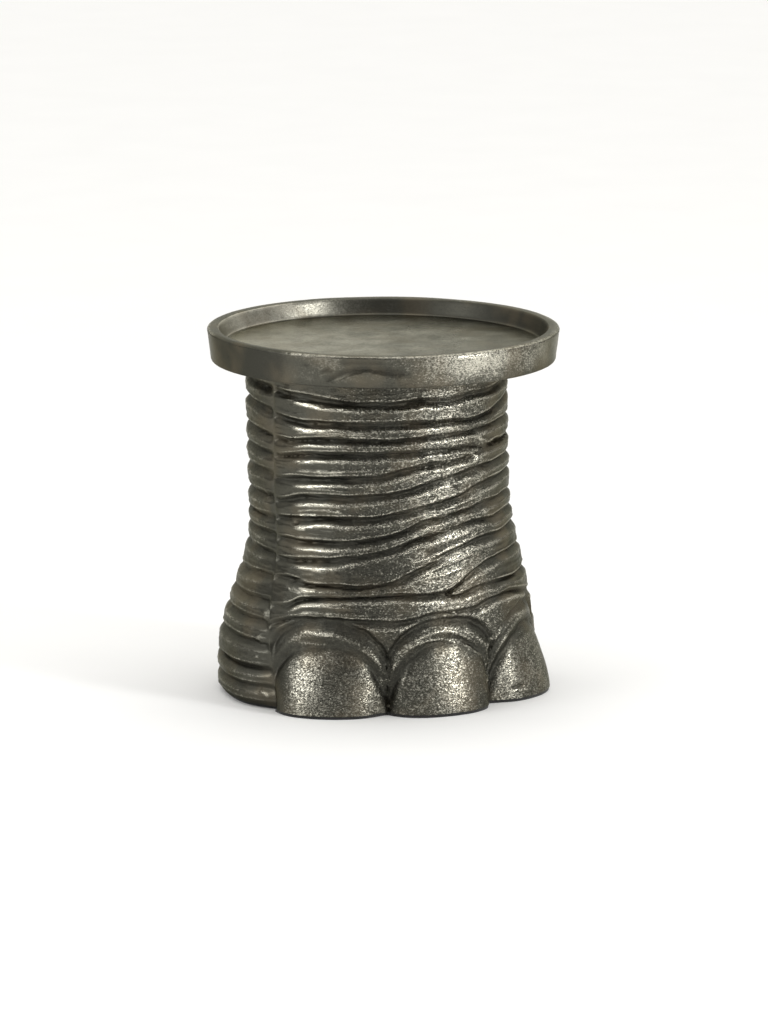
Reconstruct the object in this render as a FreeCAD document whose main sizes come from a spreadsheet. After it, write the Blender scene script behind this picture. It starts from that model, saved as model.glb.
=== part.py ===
# A footed stand for one pillar candle: a round dish tray, bolted to a hollow leg of two half castings
# in the form of an elephant's foot, on a thin sheet pad. Millimetres, +Z up. The origin is on the tray's
# axis, on the surface that the stand rests on, and the toes point along -Y.
import FreeCAD, Part
import math
import os
import Sketcher

os.makedirs("parts", exist_ok=True)
doc = FreeCAD.newDocument("candle_stand")
Vector = FreeCAD.Vector

# Driving dimensions
sizes = doc.addObject("Spreadsheet::Sheet", "sizes")
DIMENSIONS = [
    ("tray_diameter", 150),
    ("tray_skirt_taper", 1.7),
    ("tray_rim_height", 13.6),
    ("tray_rim_width", 5),
    ("tray_rim_round", 1.1),
    ("dish_depth", 7),
    ("dish_wall_lean", 2.5),
    ("dish_corner_round", 2.2),
    ("plate_thickness", 5),
    ("spigot_width", 4),
    ("spigot_depth", 3),
    ("spigot_clearance", 0.5),
    ("boss_diameter", 22),
    ("boss_gap", 1),
    ("leg_height", 143),
    ("leg_waist_diameter", 111.6),
    ("leg_shift_left", 1.5),
    ("leg_shift_back", 3.5),
    ("heel_flare", 15),
    ("heel_straight_height", 14),
    ("heel_blend_height", 76),
    ("instep_flare", 5),
    ("side_toe_flare", 8),
    ("instep_straight_height", 30),
    ("instep_blend_height", 88),
    ("toe_projection", 14.6),
    ("toe_height", 31),
    ("cuticle_height", 40),
    ("web_height", 22),
    ("nail_swell", 1.1),
    ("toe_recess", 1.5),
    ("fold_depth", 2),
    ("fold_shoulder", 1.7),
    ("fold_undercut", 2.7),
    ("rear_fold_depth", 2.6),
    ("rear_fold_shoulder", 3),
    ("rear_fold_undercut", 3.4),
    ("least_fold_height", 0.05),
    ("crease_depth", 1.3),
    ("crease_width", 1.5),
    ("cuticle_ridge", 0.7),
    ("joint_front_offset", 24),
    ("joint_top_offset", 7),
    ("joint_lean_height", 90),
    ("joint_dressing_depth", 0.9),
    ("wall_thickness", 4.5),
    ("lip_thickness", 6),
    ("lip_shelf", 8.3),
    ("weld_bead_diameter", 8),
    ("bar_width", 25),
    ("bar_thickness", 5),
    ("bar_end_gap", 3.5),
    ("bolt_diameter", 8),
    ("bolt_tip_gap", 1.7),
    ("metal_over_bolt", 2.5),
    ("bolt_head_width", 13),
    ("bolt_head_height", 5.3),
    ("bolt_hole_clearance", 0.2),
    ("thread_clearance", 0.05),
    ("flat_washer_diameter", 24),
    ("flat_washer_thickness", 2),
    ("spring_washer_diameter", 14.8),
    ("spring_washer_thickness", 2.2),
    ("spring_washer_gap", 2),
    ("pad_thickness", 1.3),
    ("pad_inset", 0.4),
    ("overrun", 5),
    ("edge_match", 0.001),
]
for row, (name, value) in enumerate(DIMENSIONS, start=1):
    sizes.set(f"A{row}", name)
    sizes.set(f"B{row}", str(value))
    sizes.setAlias(f"B{row}", name)
doc.recompute()


def size(name):
    """The value of one cell of the sheet."""
    return float(getattr(sizes, name))


# Heights and reaches that several pieces share, worked out once from the sheet
derived_row = len(DIMENSIONS)


def derive(name, formula):
    """Adds a worked-out size to the sheet, so that pieces can be bound to it."""
    global derived_row
    derived_row += 1
    sizes.set(f"A{derived_row}", name)
    sizes.set(f"B{derived_row}", formula)
    sizes.setAlias(f"B{derived_row}", name)
    doc.recompute()


derive("leg_top_height", "=pad_thickness + leg_height")
derive("lip_under_height", "=leg_top_height - lip_thickness")
derive("dish_floor_height", "=leg_top_height + plate_thickness")
derive("tray_top_height", "=dish_floor_height + dish_depth")
derive("tray_foot_height", "=tray_top_height - tray_rim_height")
derive("tray_foot_diameter", "=tray_diameter - 2 * tray_skirt_taper")
derive("dish_floor_diameter", "=tray_diameter - 2 * tray_rim_width - 2 * dish_wall_lean")
derive("least_hollow_reach",
       "=leg_waist_diameter / 2 - wall_thickness - fold_depth - crease_depth - leg_shift_back")
derive("lip_bore_diameter", "=2 * (least_hollow_reach - lip_shelf)")
derive("bar_half_length", "=least_hollow_reach - bar_end_gap")
derive("bar_under_height", "=lip_under_height - bar_thickness")
derive("boss_under_height", "=lip_under_height + boss_gap")
derive("flat_washer_under_height", "=bar_under_height - flat_washer_thickness")
derive("spring_washer_under_height", "=flat_washer_under_height - spring_washer_thickness")
derive("bolt_head_under_height", "=spring_washer_under_height - bolt_head_height")
derive("bolt_hole_top_height", "=dish_floor_height - metal_over_bolt")
derive("bolt_length", "=bolt_hole_top_height - bolt_tip_gap - spring_washer_under_height")
derive("bolt_hole_diameter", "=bolt_diameter + 2 * bolt_hole_clearance")
derive("bolt_thread_diameter", "=bolt_diameter - 2 * thread_clearance")

LEG_TOP = size("leg_top_height")
FOOT_UNDER = size("pad_thickness")
WAIST = size("leg_waist_diameter") / 2
TOE_REACH = WAIST + size("toe_projection")

# Where the creases between the skin folds run on the front casting: each row is one crease, as angle from
# the toes in degrees (plus to the right, seen from the front) and share of the leg's top height.
FRONT_CREASE_SHARES = [
    [(-77, 0.932), (-57, 0.922), (-37, 0.911), (-17, 0.915), (3, 0.917), (33, 0.925), (78, 0.936)],
    [(-77, 0.856), (-67, 0.848), (-37, 0.852), (-17, 0.856), (3, 0.852), (18, 0.848), (33, 0.859),
     (48, 0.880), (63, 0.894), (78, 0.894)],
    [(-77, 0.784), (-67, 0.790), (-57, 0.800), (-37, 0.804), (-17, 0.801), (-7, 0.807), (23, 0.818),
     (63, 0.825), (78, 0.821)],
    [(-77, 0.738), (-57, 0.757), (-37, 0.766), (-17, 0.771), (3, 0.771), (15, 0.769), (28, 0.762),
     (63, 0.766), (78, 0.763)],
    [(-77, 0.672), (-57, 0.684), (-37, 0.692), (-27, 0.698), (-17, 0.712), (-7, 0.728), (8, 0.735),
     (18, 0.745), (28, 0.757), (63, 0.762), (78, 0.759)],
    [(-77, 0.605), (-67, 0.622), (-57, 0.631), (-37, 0.635), (-27, 0.642), (-17, 0.651), (-7, 0.669),
     (3, 0.684), (23, 0.700), (48, 0.709), (63, 0.714), (78, 0.707)],
    [(-77, 0.553), (-57, 0.566), (-27, 0.577), (-17, 0.589), (-7, 0.605), (3, 0.615), (13, 0.629),
     (23, 0.649), (63, 0.665), (78, 0.651)],
    [(-77, 0.494), (-57, 0.499), (-37, 0.504), (-27, 0.515), (-17, 0.534), (-7, 0.560), (3, 0.568),
     (23, 0.591), (63, 0.603), (78, 0.596)],
    [(-77, 0.437), (-52, 0.448), (-37, 0.463), (-27, 0.478), (-17, 0.499), (-7, 0.520), (3, 0.535),
     (18, 0.550), (33, 0.546), (63, 0.554), (78, 0.547)],
    [(-77, 0.381), (-69, 0.388), (-57, 0.376), (-37, 0.376), (-27, 0.383), (-17, 0.402), (-7, 0.437),
     (3, 0.464), (18, 0.489), (63, 0.502), (78, 0.499)],
    [(-77, 0.305), (-67, 0.308), (-60, 0.335), (-47, 0.348), (-27, 0.356), (-7, 0.350), (1, 0.351),
     (7, 0.370), (13, 0.395), (21, 0.418), (38, 0.433), (63, 0.440), (78, 0.437)],
    [(-77, 0.302), (-67, 0.305), (-60, 0.332), (-47, 0.345), (-27, 0.353), (-7, 0.347), (1, 0.348),
     (11, 0.351), (18, 0.357), (48, 0.362), (63, 0.367), (78, 0.367)],
    [(-77, 0.243), (-65, 0.274), (-47, 0.279), (-27, 0.277), (-22, 0.274), (-12, 0.284), (-7, 0.295),
     (13, 0.299), (21, 0.312), (37, 0.326), (48, 0.315), (63, 0.291), (78, 0.284)],
]

# The creases on the rear casting run round the heel, from the left joint to the right one. Each row gives
# one crease's height, as a share of the leg's top height, at the left joint, on the left flank and at the
# right joint.
REAR_CREASE_SHARES = [
    (0.930, 0.938, 0.936),
    (0.862, 0.880, 0.894),
    (0.787, 0.804, 0.824),
    (0.741, 0.742, 0.763),
    (0.679, 0.680, 0.711),
    (0.610, 0.611, 0.661),
    (0.551, 0.547, 0.600),
    (0.502, 0.505, 0.552),
    (0.440, 0.450, 0.501),
    (0.381, 0.374, 0.440),
    (0.312, 0.312, 0.367),
    (0.250, 0.256, 0.286),
    (0.187, 0.193, 0.208),
    (0.114, 0.118, 0.125),
    (0.062, 0.062, 0.062),
]
LEFT_FLANK_SHARE = 0.2
CREASE_WAVE_SHARE = 0.007
WAVE_ANGLE = 9
WAVE_STEP_ANGLE = 1.7

# The foot's outline on the ground: angle from the toes in degrees, and radius as a share of the toes' reach
OUTLINE_SHARES = [
    (0, 0.910), (8, 0.907), (14, 0.891), (19, 0.862), (25, 0.797), (29, 0.822), (33, 0.877), (38, 0.922),
    (44, 0.958), (50, 0.985), (58, 1.000), (65, 0.987), (70, 0.957), (76, 0.935),
]

# Middle and half width of the three toes, in degrees from the front
TOE_ANGLES = [(-50, 25), (0, 25), (50, 25)]
TOE_EDGE_ANGLE = 75
TOE_EDGE_SPREAD_ANGLE = 20

# The instep blends into the heel over FLANK_SPREAD_ANGLE degrees before FLANK_ANGLE
FLANK_ANGLE = 90
FLANK_SPREAD_ANGLE = 30

# Shape of the arches over the toes, of a nail's bulge and of a fold from one crease to the next
ARCH_POWER = 2.4
ARCH_END_POWER = 0.6
TOE_PROFILE_POWER = 1.7
NAIL_POWER = 3
FOLD_STEEPNESS_SHARE = 0.3
SHOULDER_SHARE = 0.36
UNDERCUT_SHARE = 0.4
UNDERCUT_POWER = 1.15
LIP_LOSS_SHARE = 0.2
SMOOTHING_RATIO = 1.2
CUTICLE_RIDGE_SHARE = 0.5

# How the joint between the castings leans, how far from it the skin is ground down, in degrees, and the
# share of the folds that the grinding takes away
JOINT_LEAN_POWER = 1.2
DRESSED_ANGLE = 7
DRESSED_FOLD_SHARE = 0.55
JOINT_FIRST_ANGLE = 80
JOINT_GUESS_COUNT = 30

# Fineness of the skins: rows and columns of control points, and bands of faces up the leg
SPLINE_DEGREE = 3
ROW_COUNT = 83
COLLAR_ROW_COUNT = 5
FRONT_COLUMN_COUNT = 66
FRONT_TURN_COUNT = 6
REAR_COLUMN_COUNT = 51
REAR_TURN_COUNT = 8
CAVITY_COLUMN_COUNT = 20
BAND_COUNT = 8


def blend(share):
    """Eases from 0 to 1 as share goes from 0 to 1."""
    share = min(max(share, 0), 1)
    return share * share * (3 - 2 * share)


def along(points, where):
    """The height of a smooth line through points of (place, value)."""
    if where <= points[0][0]:
        return points[0][1]
    for index in range(len(points) - 1):
        left, right = points[index], points[index + 1]
        if where <= right[0]:
            before = points[max(index - 1, 0)]
            after = points[min(index + 2, len(points) - 1)]
            span = right[0] - left[0]
            share = (where - left[0]) / span
            slope_left = (right[1] - before[1]) / (right[0] - before[0]) * span
            slope_right = (after[1] - left[1]) / (after[0] - left[0]) * span
            rise = right[1] - left[1]
            square, cube = share ** 2, share ** 3
            return (left[1] + slope_left * (share - 2 * square + cube)
                    + rise * (3 * square - 2 * cube) + slope_right * (cube - square))
    return points[-1][1]


def fade(height, low, high):
    """Falls from 1 at and below low to 0 at and above high, as half a cosine wave."""
    share = min(max((height - low) / (high - low), 0), 1)
    return (1 + math.cos(math.pi * share)) / 2


def leg_centre(height):
    """The leg leans: its middle moves left and back from the foot up to the tray."""
    share = blend(height / LEG_TOP)
    return Vector(-size("leg_shift_left") * share, size("leg_shift_back") * share, 0)


def crest_radius(angle, height):
    """Radius of the leg over the folds' crests, without the toes."""
    off_front = abs(angle)
    frontness = blend((FLANK_ANGLE - off_front) / FLANK_SPREAD_ANGLE)
    instep = size("instep_flare")
    side = min(off_front / TOE_ANGLES[2][0], 1) ** 2
    front_flare = instep + (size("side_toe_flare") - instep) * side
    front = front_flare * fade(height, size("instep_straight_height"), size("instep_blend_height"))
    heel = size("heel_flare") * fade(height, size("heel_straight_height"), size("heel_blend_height"))
    return WAIST + heel + (front - heel) * frontness


def fold_dip(height, creases, casting_name=""):
    """How far the skin lies under the crests, between the two creases on either side of a height.

    Under a crease the skin comes out fast over a round shoulder, falls back slowly to a thin lip, and turns
    in under the lip to the next crease. casting_name is "rear_" for the rear casting's rounder folds.
    """
    levels = sorted([FOOT_UNDER, LEG_TOP + size("overrun")] + creases)
    for low, high in zip(levels, levels[1:]):
        if low <= height <= high:
            gap = max(high - low, size("least_fold_height"))
            shoulder = min(size(casting_name + "fold_shoulder"), SHOULDER_SHARE * gap)
            undercut = min(size(casting_name + "fold_undercut"), UNDERCUT_SHARE * gap)
            depth = min(size(casting_name + "fold_depth"), FOLD_STEEPNESS_SHARE * gap) * SMOOTHING_RATIO
            loss = LIP_LOSS_SHARE * depth
            from_top, from_bottom = high - height, height - low
            out = depth * (1 - math.sin(math.pi / 2 * min(from_top / shoulder, 1)))
            fall = min(max((from_top - shoulder) / (gap - shoulder - undercut), 0), 1)
            turn_in = (depth - loss) * max(1 - from_bottom / undercut, 0) ** UNDERCUT_POWER
            return out + loss * fall + turn_in
    return 0


def front_creases(angle):
    return [LEG_TOP * along(points, angle) for points in FRONT_CREASE_SHARES]


def rear_creases(angle):
    """Creases of the rear casting at an angle, taken round the heel from the left joint to the right one."""
    turned = angle if angle >= 0 else angle + 360
    share = (360 - TOE_EDGE_ANGLE - turned) / (360 - 2 * TOE_EDGE_ANGLE)
    share = min(max(share, 0), 1)
    heights = []
    for number, (left, flank, right) in enumerate(REAR_CREASE_SHARES):
        level = along([(0, left), (LEFT_FLANK_SHARE, flank), (1, right)], share)
        ripple = math.sin(WAVE_ANGLE * share + WAVE_STEP_ANGLE * number)
        wave = CREASE_WAVE_SHARE * math.sin(math.pi * share) * ripple
        heights.append(LEG_TOP * (level + wave))
    return heights


def arch_height(angle, middle, half_width, foot, top):
    """Height of the arch over one toe at an angle, from foot at its sides to top over its middle."""
    side = min(abs(angle - middle) / half_width, 1)
    return foot + (top - foot) * (1 - side ** ARCH_POWER) ** ARCH_END_POWER


def nearest_toe(angle):
    return min(TOE_ANGLES, key=lambda toe: abs(angle - toe[0]))


def groove(distance):
    """Depth of a narrow crease at a distance from its middle."""
    return size("crease_depth") * math.exp(-(distance / size("crease_width")) ** 2)


def front_radius(angle, height, folds_kept=1):
    """Outer radius of the front casting: folded skin, and three toes with their nails under it."""
    crest = crest_radius(angle, height)
    middle, half_width = nearest_toe(angle)
    nail_top = arch_height(angle, middle, half_width, 0, size("toe_height"))
    cuticle_top = arch_height(angle, middle, half_width, size("web_height"), size("cuticle_height"))
    outline = TOE_REACH * along(OUTLINE_SHARES, abs(angle))
    rise = min(height / size("toe_height"), 1)
    reach = (outline - crest_radius(angle, FOOT_UNDER)) * (1 - rise ** TOE_PROFILE_POWER)
    radius = crest + reach
    if height < nail_top:
        radius += size("nail_swell") * (1 - (height / nail_top) ** NAIL_POWER)
    radius -= groove((height - nail_top) * min(1, nail_top / size("web_height")))
    radius -= groove(height - cuticle_top)
    ridge_height = nail_top + (cuticle_top - nail_top) * CUTICLE_RIDGE_SHARE
    radius += size("cuticle_ridge") * math.exp(-((height - ridge_height) / size("crease_width")) ** 2)
    above = blend((height - cuticle_top) / size("crease_width") / 2)
    radius -= above * folds_kept * fold_dip(height, front_creases(angle))
    radius -= (1 - above) * size("toe_recess") * blend(height / size("web_height"))
    return radius


def rear_radius(angle, height, folds_kept=1):
    """Outer radius of the rear casting: folded skin down to the ground."""
    return crest_radius(angle, height) - folds_kept * fold_dip(height, rear_creases(angle), "rear_")


def joint_offset(height):
    """Y of the joint between the two castings: it leans back from the toes, then stands upright."""
    lean = max(1 - height / size("joint_lean_height"), 0) ** JOINT_LEAN_POWER
    front, top = size("joint_front_offset"), size("joint_top_offset")
    return -(top + (front - top) * lean)


def joint_angle(side, height, radius_at):
    """Angle from the toes at which a casting's skin meets the joint, on one side."""
    angle = JOINT_FIRST_ANGLE
    for _ in range(JOINT_GUESS_COUNT):
        reach = radius_at(side * angle, height)
        wanted = (leg_centre(height).y - joint_offset(height)) / reach
        angle += (math.degrees(math.acos(wanted)) - angle) / 2
    return angle


def skin_point(angle, height, radius):
    turn = math.radians(angle)
    middle = leg_centre(height)
    return Vector(middle.x + radius * math.sin(turn), middle.y - radius * math.cos(turn), height)


def skin_net(radius_at, start_side, columns, rows, low, high, dressed):
    """Control points of a skin between two heights, over the front or the rear. Its sides lie on the joint.

    start_side is -1 for the front, which runs from the left joint over the toes, and 1 for the rear, which
    runs from the right joint round the heel. dressed is the depth that the joint is ground down.
    """
    net = []
    for row in range(rows + 1):
        height = low + (high - low) * row / rows
        left = joint_angle(-1, height, radius_at)
        right = joint_angle(1, height, radius_at)
        start, end = (-left, right) if start_side < 0 else (right, 360 - left)
        line = []
        for column in range(columns + 1):
            angle = start + (end - start) * column / columns
            within = (angle + 180) % 360 - 180
            to_joint = min(column, columns - column) / columns * (end - start)
            ground = math.exp(-(to_joint / DRESSED_ANGLE) ** 2)
            radius = radius_at(within, height, 1 - DRESSED_FOLD_SHARE * ground) - dressed * ground
            line.append(skin_point(angle, height, radius))
        for corner in (line[0], line[-1]):
            corner.y = joint_offset(height)
        net.append(line)
    return net


def open_knots(count):
    """Knots and multiplicities of an open uniform spline of SPLINE_DEGREE with count poles."""
    spans = count - SPLINE_DEGREE
    knots = [index / spans for index in range(spans + 1)]
    return knots, [SPLINE_DEGREE + 1] + [1] * (spans - 1) + [SPLINE_DEGREE + 1]


def surface_of(net):
    height_knots, height_mults = open_knots(len(net))
    turn_knots, turn_mults = open_knots(len(net[0]))
    surface = Part.BSplineSurface()
    surface.buildFromPolesMultsKnots(net, height_mults, turn_mults, height_knots, turn_knots,
                                     False, False, SPLINE_DEGREE, SPLINE_DEGREE)
    return surface


def patches_of(surface, bands, turns):
    """The surface as faces, cut into bands up the leg and turns round it."""
    faces = []
    for band in range(bands):
        for turn in range(turns):
            patch = surface.copy()
            patch.segment(band / bands, (band + 1) / bands, turn / turns, (turn + 1) / turns)
            faces.append(patch.toShape())
    return faces


def side_curves(surface, share, bands):
    """A side of a surface, cut into the same bands."""
    pieces = []
    for band in range(bands):
        curve = surface.vIso(share)
        curve.segment(band / bands, (band + 1) / bands)
        pieces.append(curve.toShape())
    return pieces


def rim_curves(surface, share, turns):
    """The lower or upper edge of a surface, cut into the same turns."""
    pieces = []
    for turn in range(turns):
        curve = surface.uIso(share)
        curve.segment(turn / turns, (turn + 1) / turns)
        pieces.append(curve.toShape())
    return pieces


def chord(start, end):
    return Part.LineSegment(start, end).toShape()


def flat_face(edges):
    return Part.Face(Part.Wire(Part.__sortEdges__(edges)))


def solid_from(faces):
    """One closed solid from faces that meet along their edges."""
    shell = Part.makeShell(faces)
    shell.sewShape()
    solid = Part.makeSolid(Part.Shell(shell.Faces))
    if solid.Volume < 0:
        solid.reverse()
    return solid


def cavity_radius(angle, height, folds_kept=0):
    """Radius of the hollow: it follows the skin without its toes, a wall's thickness further in."""
    inset = size("wall_thickness") + size("fold_depth") + size("crease_depth")
    over_toes = blend((TOE_EDGE_ANGLE + TOE_EDGE_SPREAD_ANGLE - abs(angle)) / (2 * TOE_EDGE_SPREAD_ANGLE))
    toe_inset = (size("instep_flare") + size("crease_depth")) * over_toes
    low = fade(height, size("heel_straight_height"), size("instep_blend_height"))
    return crest_radius(angle, height) - inset - toe_inset * low


def casting(radius_at, start_side, columns, turns):
    """One half casting of the leg: folded skin outside, plain wall inside, and a lip turned in at the top."""
    under = size("lip_under_height")
    ground = size("joint_dressing_depth")
    outer_net = skin_net(radius_at, start_side, columns, ROW_COUNT, FOOT_UNDER, under, ground)
    inner_net = skin_net(cavity_radius, start_side, CAVITY_COLUMN_COUNT, ROW_COUNT, FOOT_UNDER, under, 0)
    collar_net = skin_net(radius_at, start_side, columns, COLLAR_ROW_COUNT, under, LEG_TOP, ground)
    outer, inner, collar = surface_of(outer_net), surface_of(inner_net), surface_of(collar_net)
    faces = patches_of(outer, BAND_COUNT, turns) + patches_of(inner, BAND_COUNT, 1)
    faces += patches_of(collar, 1, turns)
    faces.append(flat_face(rim_curves(outer, 0, turns) + rim_curves(inner, 0, 1)
                           + [chord(outer_net[0][end], inner_net[0][end]) for end in (0, -1)]))
    bore = size("lip_bore_diameter") / 2
    joint_y = joint_offset(LEG_TOP)
    bore_x = math.sqrt(bore ** 2 - joint_y ** 2)
    sides = [start_side, -start_side]
    corners = [[Vector(side * bore_x, joint_y, height) for side in sides] for height in (under, LEG_TOP)]
    middles = [Vector(0, bore * start_side, height) for height in (under, LEG_TOP)]
    arcs = [Part.Arc(pair[0], middle, pair[1]).toShape() for pair, middle in zip(corners, middles)]
    faces.append(Part.makeRuledSurface(arcs[0], arcs[1]))
    faces.append(flat_face(rim_curves(inner, 1, 1) + [arcs[0]]
                           + [chord(inner_net[-1][end], corners[0][end]) for end in (0, -1)]))
    faces.append(flat_face(rim_curves(collar, 1, turns) + [arcs[1]]
                           + [chord(collar_net[-1][end], corners[1][end]) for end in (0, -1)]))
    for share, end in ((0, 0), (1, -1)):
        for low, high in zip(side_curves(outer, share, BAND_COUNT), side_curves(inner, share, BAND_COUNT)):
            faces.append(Part.makeRuledSurface(low, high))
        faces.append(flat_face(side_curves(collar, share, 1) + [
            chord(collar_net[-1][end], corners[1][end]),
            chord(corners[1][end], corners[0][end]),
            chord(corners[0][end], inner_net[-1][end]),
            chord(inner_net[-1][end], collar_net[0][end]),
        ]))
    return solid_from(faces), outer_net, inner


def feature(name, shape):
    """A document object that holds a worked-out shape."""
    thing = doc.addObject("Part::Feature", name)
    thing.Shape = shape
    return thing


def cut(name, base, tool):
    thing = doc.addObject("Part::Cut", name)
    thing.Base = base
    thing.Tool = tool
    return thing


front_solid, front_net, front_inner = casting(front_radius, -1, FRONT_COLUMN_COUNT, FRONT_TURN_COUNT)
rear_solid, rear_net, rear_inner = casting(rear_radius, 1, REAR_COLUMN_COUNT, REAR_TURN_COUNT)
foot_front_shell = feature("foot_front_shell", front_solid)
foot_rear_shell = feature("foot_rear_shell", rear_solid)

# The hollow inside both castings, which shapes the backs of the weld beads
cavity = feature("cavity", solid_from(
    [front_inner.toShape(), rear_inner.toShape()]
    + [flat_face(rim_curves(front_inner, share, 1) + rim_curves(rear_inner, share, 1)) for share in (0, 1)]))

# Weld beads run up the inside of both joints
BEAD_LEVEL_SHARES = [0.03, 0.2, 0.4, 0.6, 0.8, 0.97]


def bead_middle(side, height):
    angle = joint_angle(side, height, cavity_radius)
    return skin_point(side * angle, height, cavity_radius(side * angle, height))


def weld_bead(name, side):
    """One bead: a round run of weld metal, as far as it stands into the hollow."""
    rings = []
    for share in BEAD_LEVEL_SHARES:
        height = FOOT_UNDER + (size("lip_under_height") - FOOT_UNDER) * share
        middle = bead_middle(side, height)
        ring = Part.Circle(middle, Vector(0, 0, 1), size("weld_bead_diameter") / 2)
        rings.append(Part.Wire([ring.toShape()]))
    run = feature(name + "_run", Part.makeLoft(rings, True, False))
    bead = doc.addObject("Part::Common", name)
    bead.Base = run
    bead.Tool = cavity
    return bead


seam_weld_left = weld_bead("seam_weld_left", -1)
seam_weld_right = weld_bead("seam_weld_right", 1)


def plane_of(body, role):
    return next(plane for plane in body.Origin.OriginFeatures if plane.Role == role)


def sketch_on(body, name, role):
    sketch = body.newObject("Sketcher::SketchObject", name)
    sketch.AttachmentSupport = (plane_of(body, role), [""])
    sketch.MapMode = "FlatFace"
    return sketch


def outline(sketch, corners):
    """A closed outline through corners of (across, up), each an expression bound to the sheet."""
    count = len(corners)
    for index in range(count):
        sketch.addGeometry(Part.LineSegment(Vector(index, 0, 0), Vector(index, 1, 0)), False)
    for index in range(count):
        following = (index + 1) % count
        sketch.addConstraint(Sketcher.Constraint("Coincident", index, 2, following, 1))
    for index, (across, up) in enumerate(corners):
        for kind, expression in (("DistanceX", across), ("DistanceY", up)):
            number = sketch.addConstraint(Sketcher.Constraint(kind, -1, 1, index, 1, 1.0))
            sketch.setExpression(f"Constraints[{number}]", expression)


def revolved_body(name, corners):
    """A body turned round the upright axis from an outline bound to the sheet."""
    body = doc.addObject("PartDesign::Body", name)
    sketch = sketch_on(body, name + "_outline", "XZ_Plane")
    outline(sketch, corners)
    doc.recompute()
    turned = body.newObject("PartDesign::Revolution", name + "_turned")
    turned.Profile = sketch
    turned.ReferenceAxis = (sketch, ["V_Axis"])
    turned.Angle = 360
    return body, turned


# The tray: dish, rim, skirt, a spigot that centres it in the leg's lip, and a threaded boss
tray, tray_turned = revolved_body("tray", [
    ("0", "sizes.dish_floor_height"),
    ("sizes.dish_floor_diameter / 2", "sizes.dish_floor_height"),
    ("sizes.tray_diameter / 2 - sizes.tray_rim_width", "sizes.tray_top_height"),
    ("sizes.tray_diameter / 2", "sizes.tray_top_height"),
    ("sizes.tray_foot_diameter / 2", "sizes.tray_foot_height"),
    ("sizes.tray_foot_diameter / 2 - sizes.tray_rim_width", "sizes.tray_foot_height"),
    ("sizes.tray_foot_diameter / 2 - sizes.tray_rim_width", "sizes.leg_top_height"),
    ("sizes.lip_bore_diameter / 2 - sizes.spigot_clearance", "sizes.leg_top_height"),
    ("sizes.lip_bore_diameter / 2 - sizes.spigot_clearance", "sizes.leg_top_height - sizes.spigot_depth"),
    ("sizes.lip_bore_diameter / 2 - sizes.spigot_clearance - sizes.spigot_width",
     "sizes.leg_top_height - sizes.spigot_depth"),
    ("sizes.lip_bore_diameter / 2 - sizes.spigot_clearance - sizes.spigot_width", "sizes.leg_top_height"),
    ("sizes.boss_diameter / 2", "sizes.leg_top_height"),
    ("sizes.boss_diameter / 2", "sizes.boss_under_height"),
    ("sizes.bolt_diameter / 2", "sizes.boss_under_height"),
    ("sizes.bolt_diameter / 2", "sizes.bolt_hole_top_height"),
    ("0", "sizes.bolt_hole_top_height"),
])
doc.recompute()


def edges_at(shape, radius, height):
    """Names of the round edges of a shape with a radius and a height."""
    found = []
    for number, edge in enumerate(shape.Edges, start=1):
        curve = edge.Curve
        if not isinstance(curve, Part.Circle):
            continue
        off = max(abs(curve.Radius - radius), abs(curve.Center.z - height))
        if off < size("edge_match"):
            found.append(f"Edge{number}")
    return found


def rounded(body, base, name, radius, places):
    """Rounds the edges of a body at places of (radius, height)."""
    fillet = body.newObject("PartDesign::Fillet", name)
    names = [edge for place in places for edge in edges_at(base.Shape, *place)]
    fillet.Base = (base, names)
    fillet.setExpression("Radius", radius)
    doc.recompute()
    return fillet


tray_rims = rounded(tray, tray_turned, "tray_rim_rounding", "sizes.tray_rim_round", [
    (size("tray_diameter") / 2, size("tray_top_height")),
    (size("tray_diameter") / 2 - size("tray_rim_width"), size("tray_top_height")),
    (size("tray_foot_diameter") / 2, size("tray_foot_height")),
])
tray_rounded = rounded(tray, tray_rims, "dish_corner_rounding", "sizes.dish_corner_round", [
    (size("dish_floor_diameter") / 2, size("dish_floor_height")),
])
tray.Tip = tray_rounded

# The clamp under the tray: bar, washers and bolt
clamp_bar = doc.addObject("PartDesign::Body", "clamp_bar")
bar_sketch = sketch_on(clamp_bar, "clamp_bar_outline", "XY_Plane")
BAR_HALF_WIDTH = "sizes.bar_width / 2"
BAR_HALF_LENGTH = "sizes.bar_half_length"
outline(bar_sketch, [
    (BAR_HALF_WIDTH, BAR_HALF_LENGTH),
    ("-" + BAR_HALF_WIDTH, BAR_HALF_LENGTH),
    ("-" + BAR_HALF_WIDTH, "-" + BAR_HALF_LENGTH),
    (BAR_HALF_WIDTH, "-" + BAR_HALF_LENGTH),
])
hole = bar_sketch.addGeometry(Part.Circle(Vector(0, 0, 0), Vector(0, 0, 1), 1), False)
bar_sketch.addConstraint(Sketcher.Constraint("Coincident", hole, 3, -1, 1))
hole_radius = bar_sketch.addConstraint(Sketcher.Constraint("Radius", hole, 1.0))
bar_sketch.setExpression(f"Constraints[{hole_radius}]", "sizes.bolt_hole_diameter / 2")
bar_pad = clamp_bar.newObject("PartDesign::Pad", "clamp_bar_pad")
bar_pad.Profile = bar_sketch
bar_pad.setExpression("Length", "sizes.bar_thickness")
clamp_bar.setExpression("Placement.Base.z", "sizes.bar_under_height")

flat_washer, _ = revolved_body("flat_washer", [
    ("sizes.bolt_hole_diameter / 2", "sizes.flat_washer_under_height"),
    ("sizes.flat_washer_diameter / 2", "sizes.flat_washer_under_height"),
    ("sizes.flat_washer_diameter / 2", "sizes.bar_under_height"),
    ("sizes.bolt_hole_diameter / 2", "sizes.bar_under_height"),
])

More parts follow.
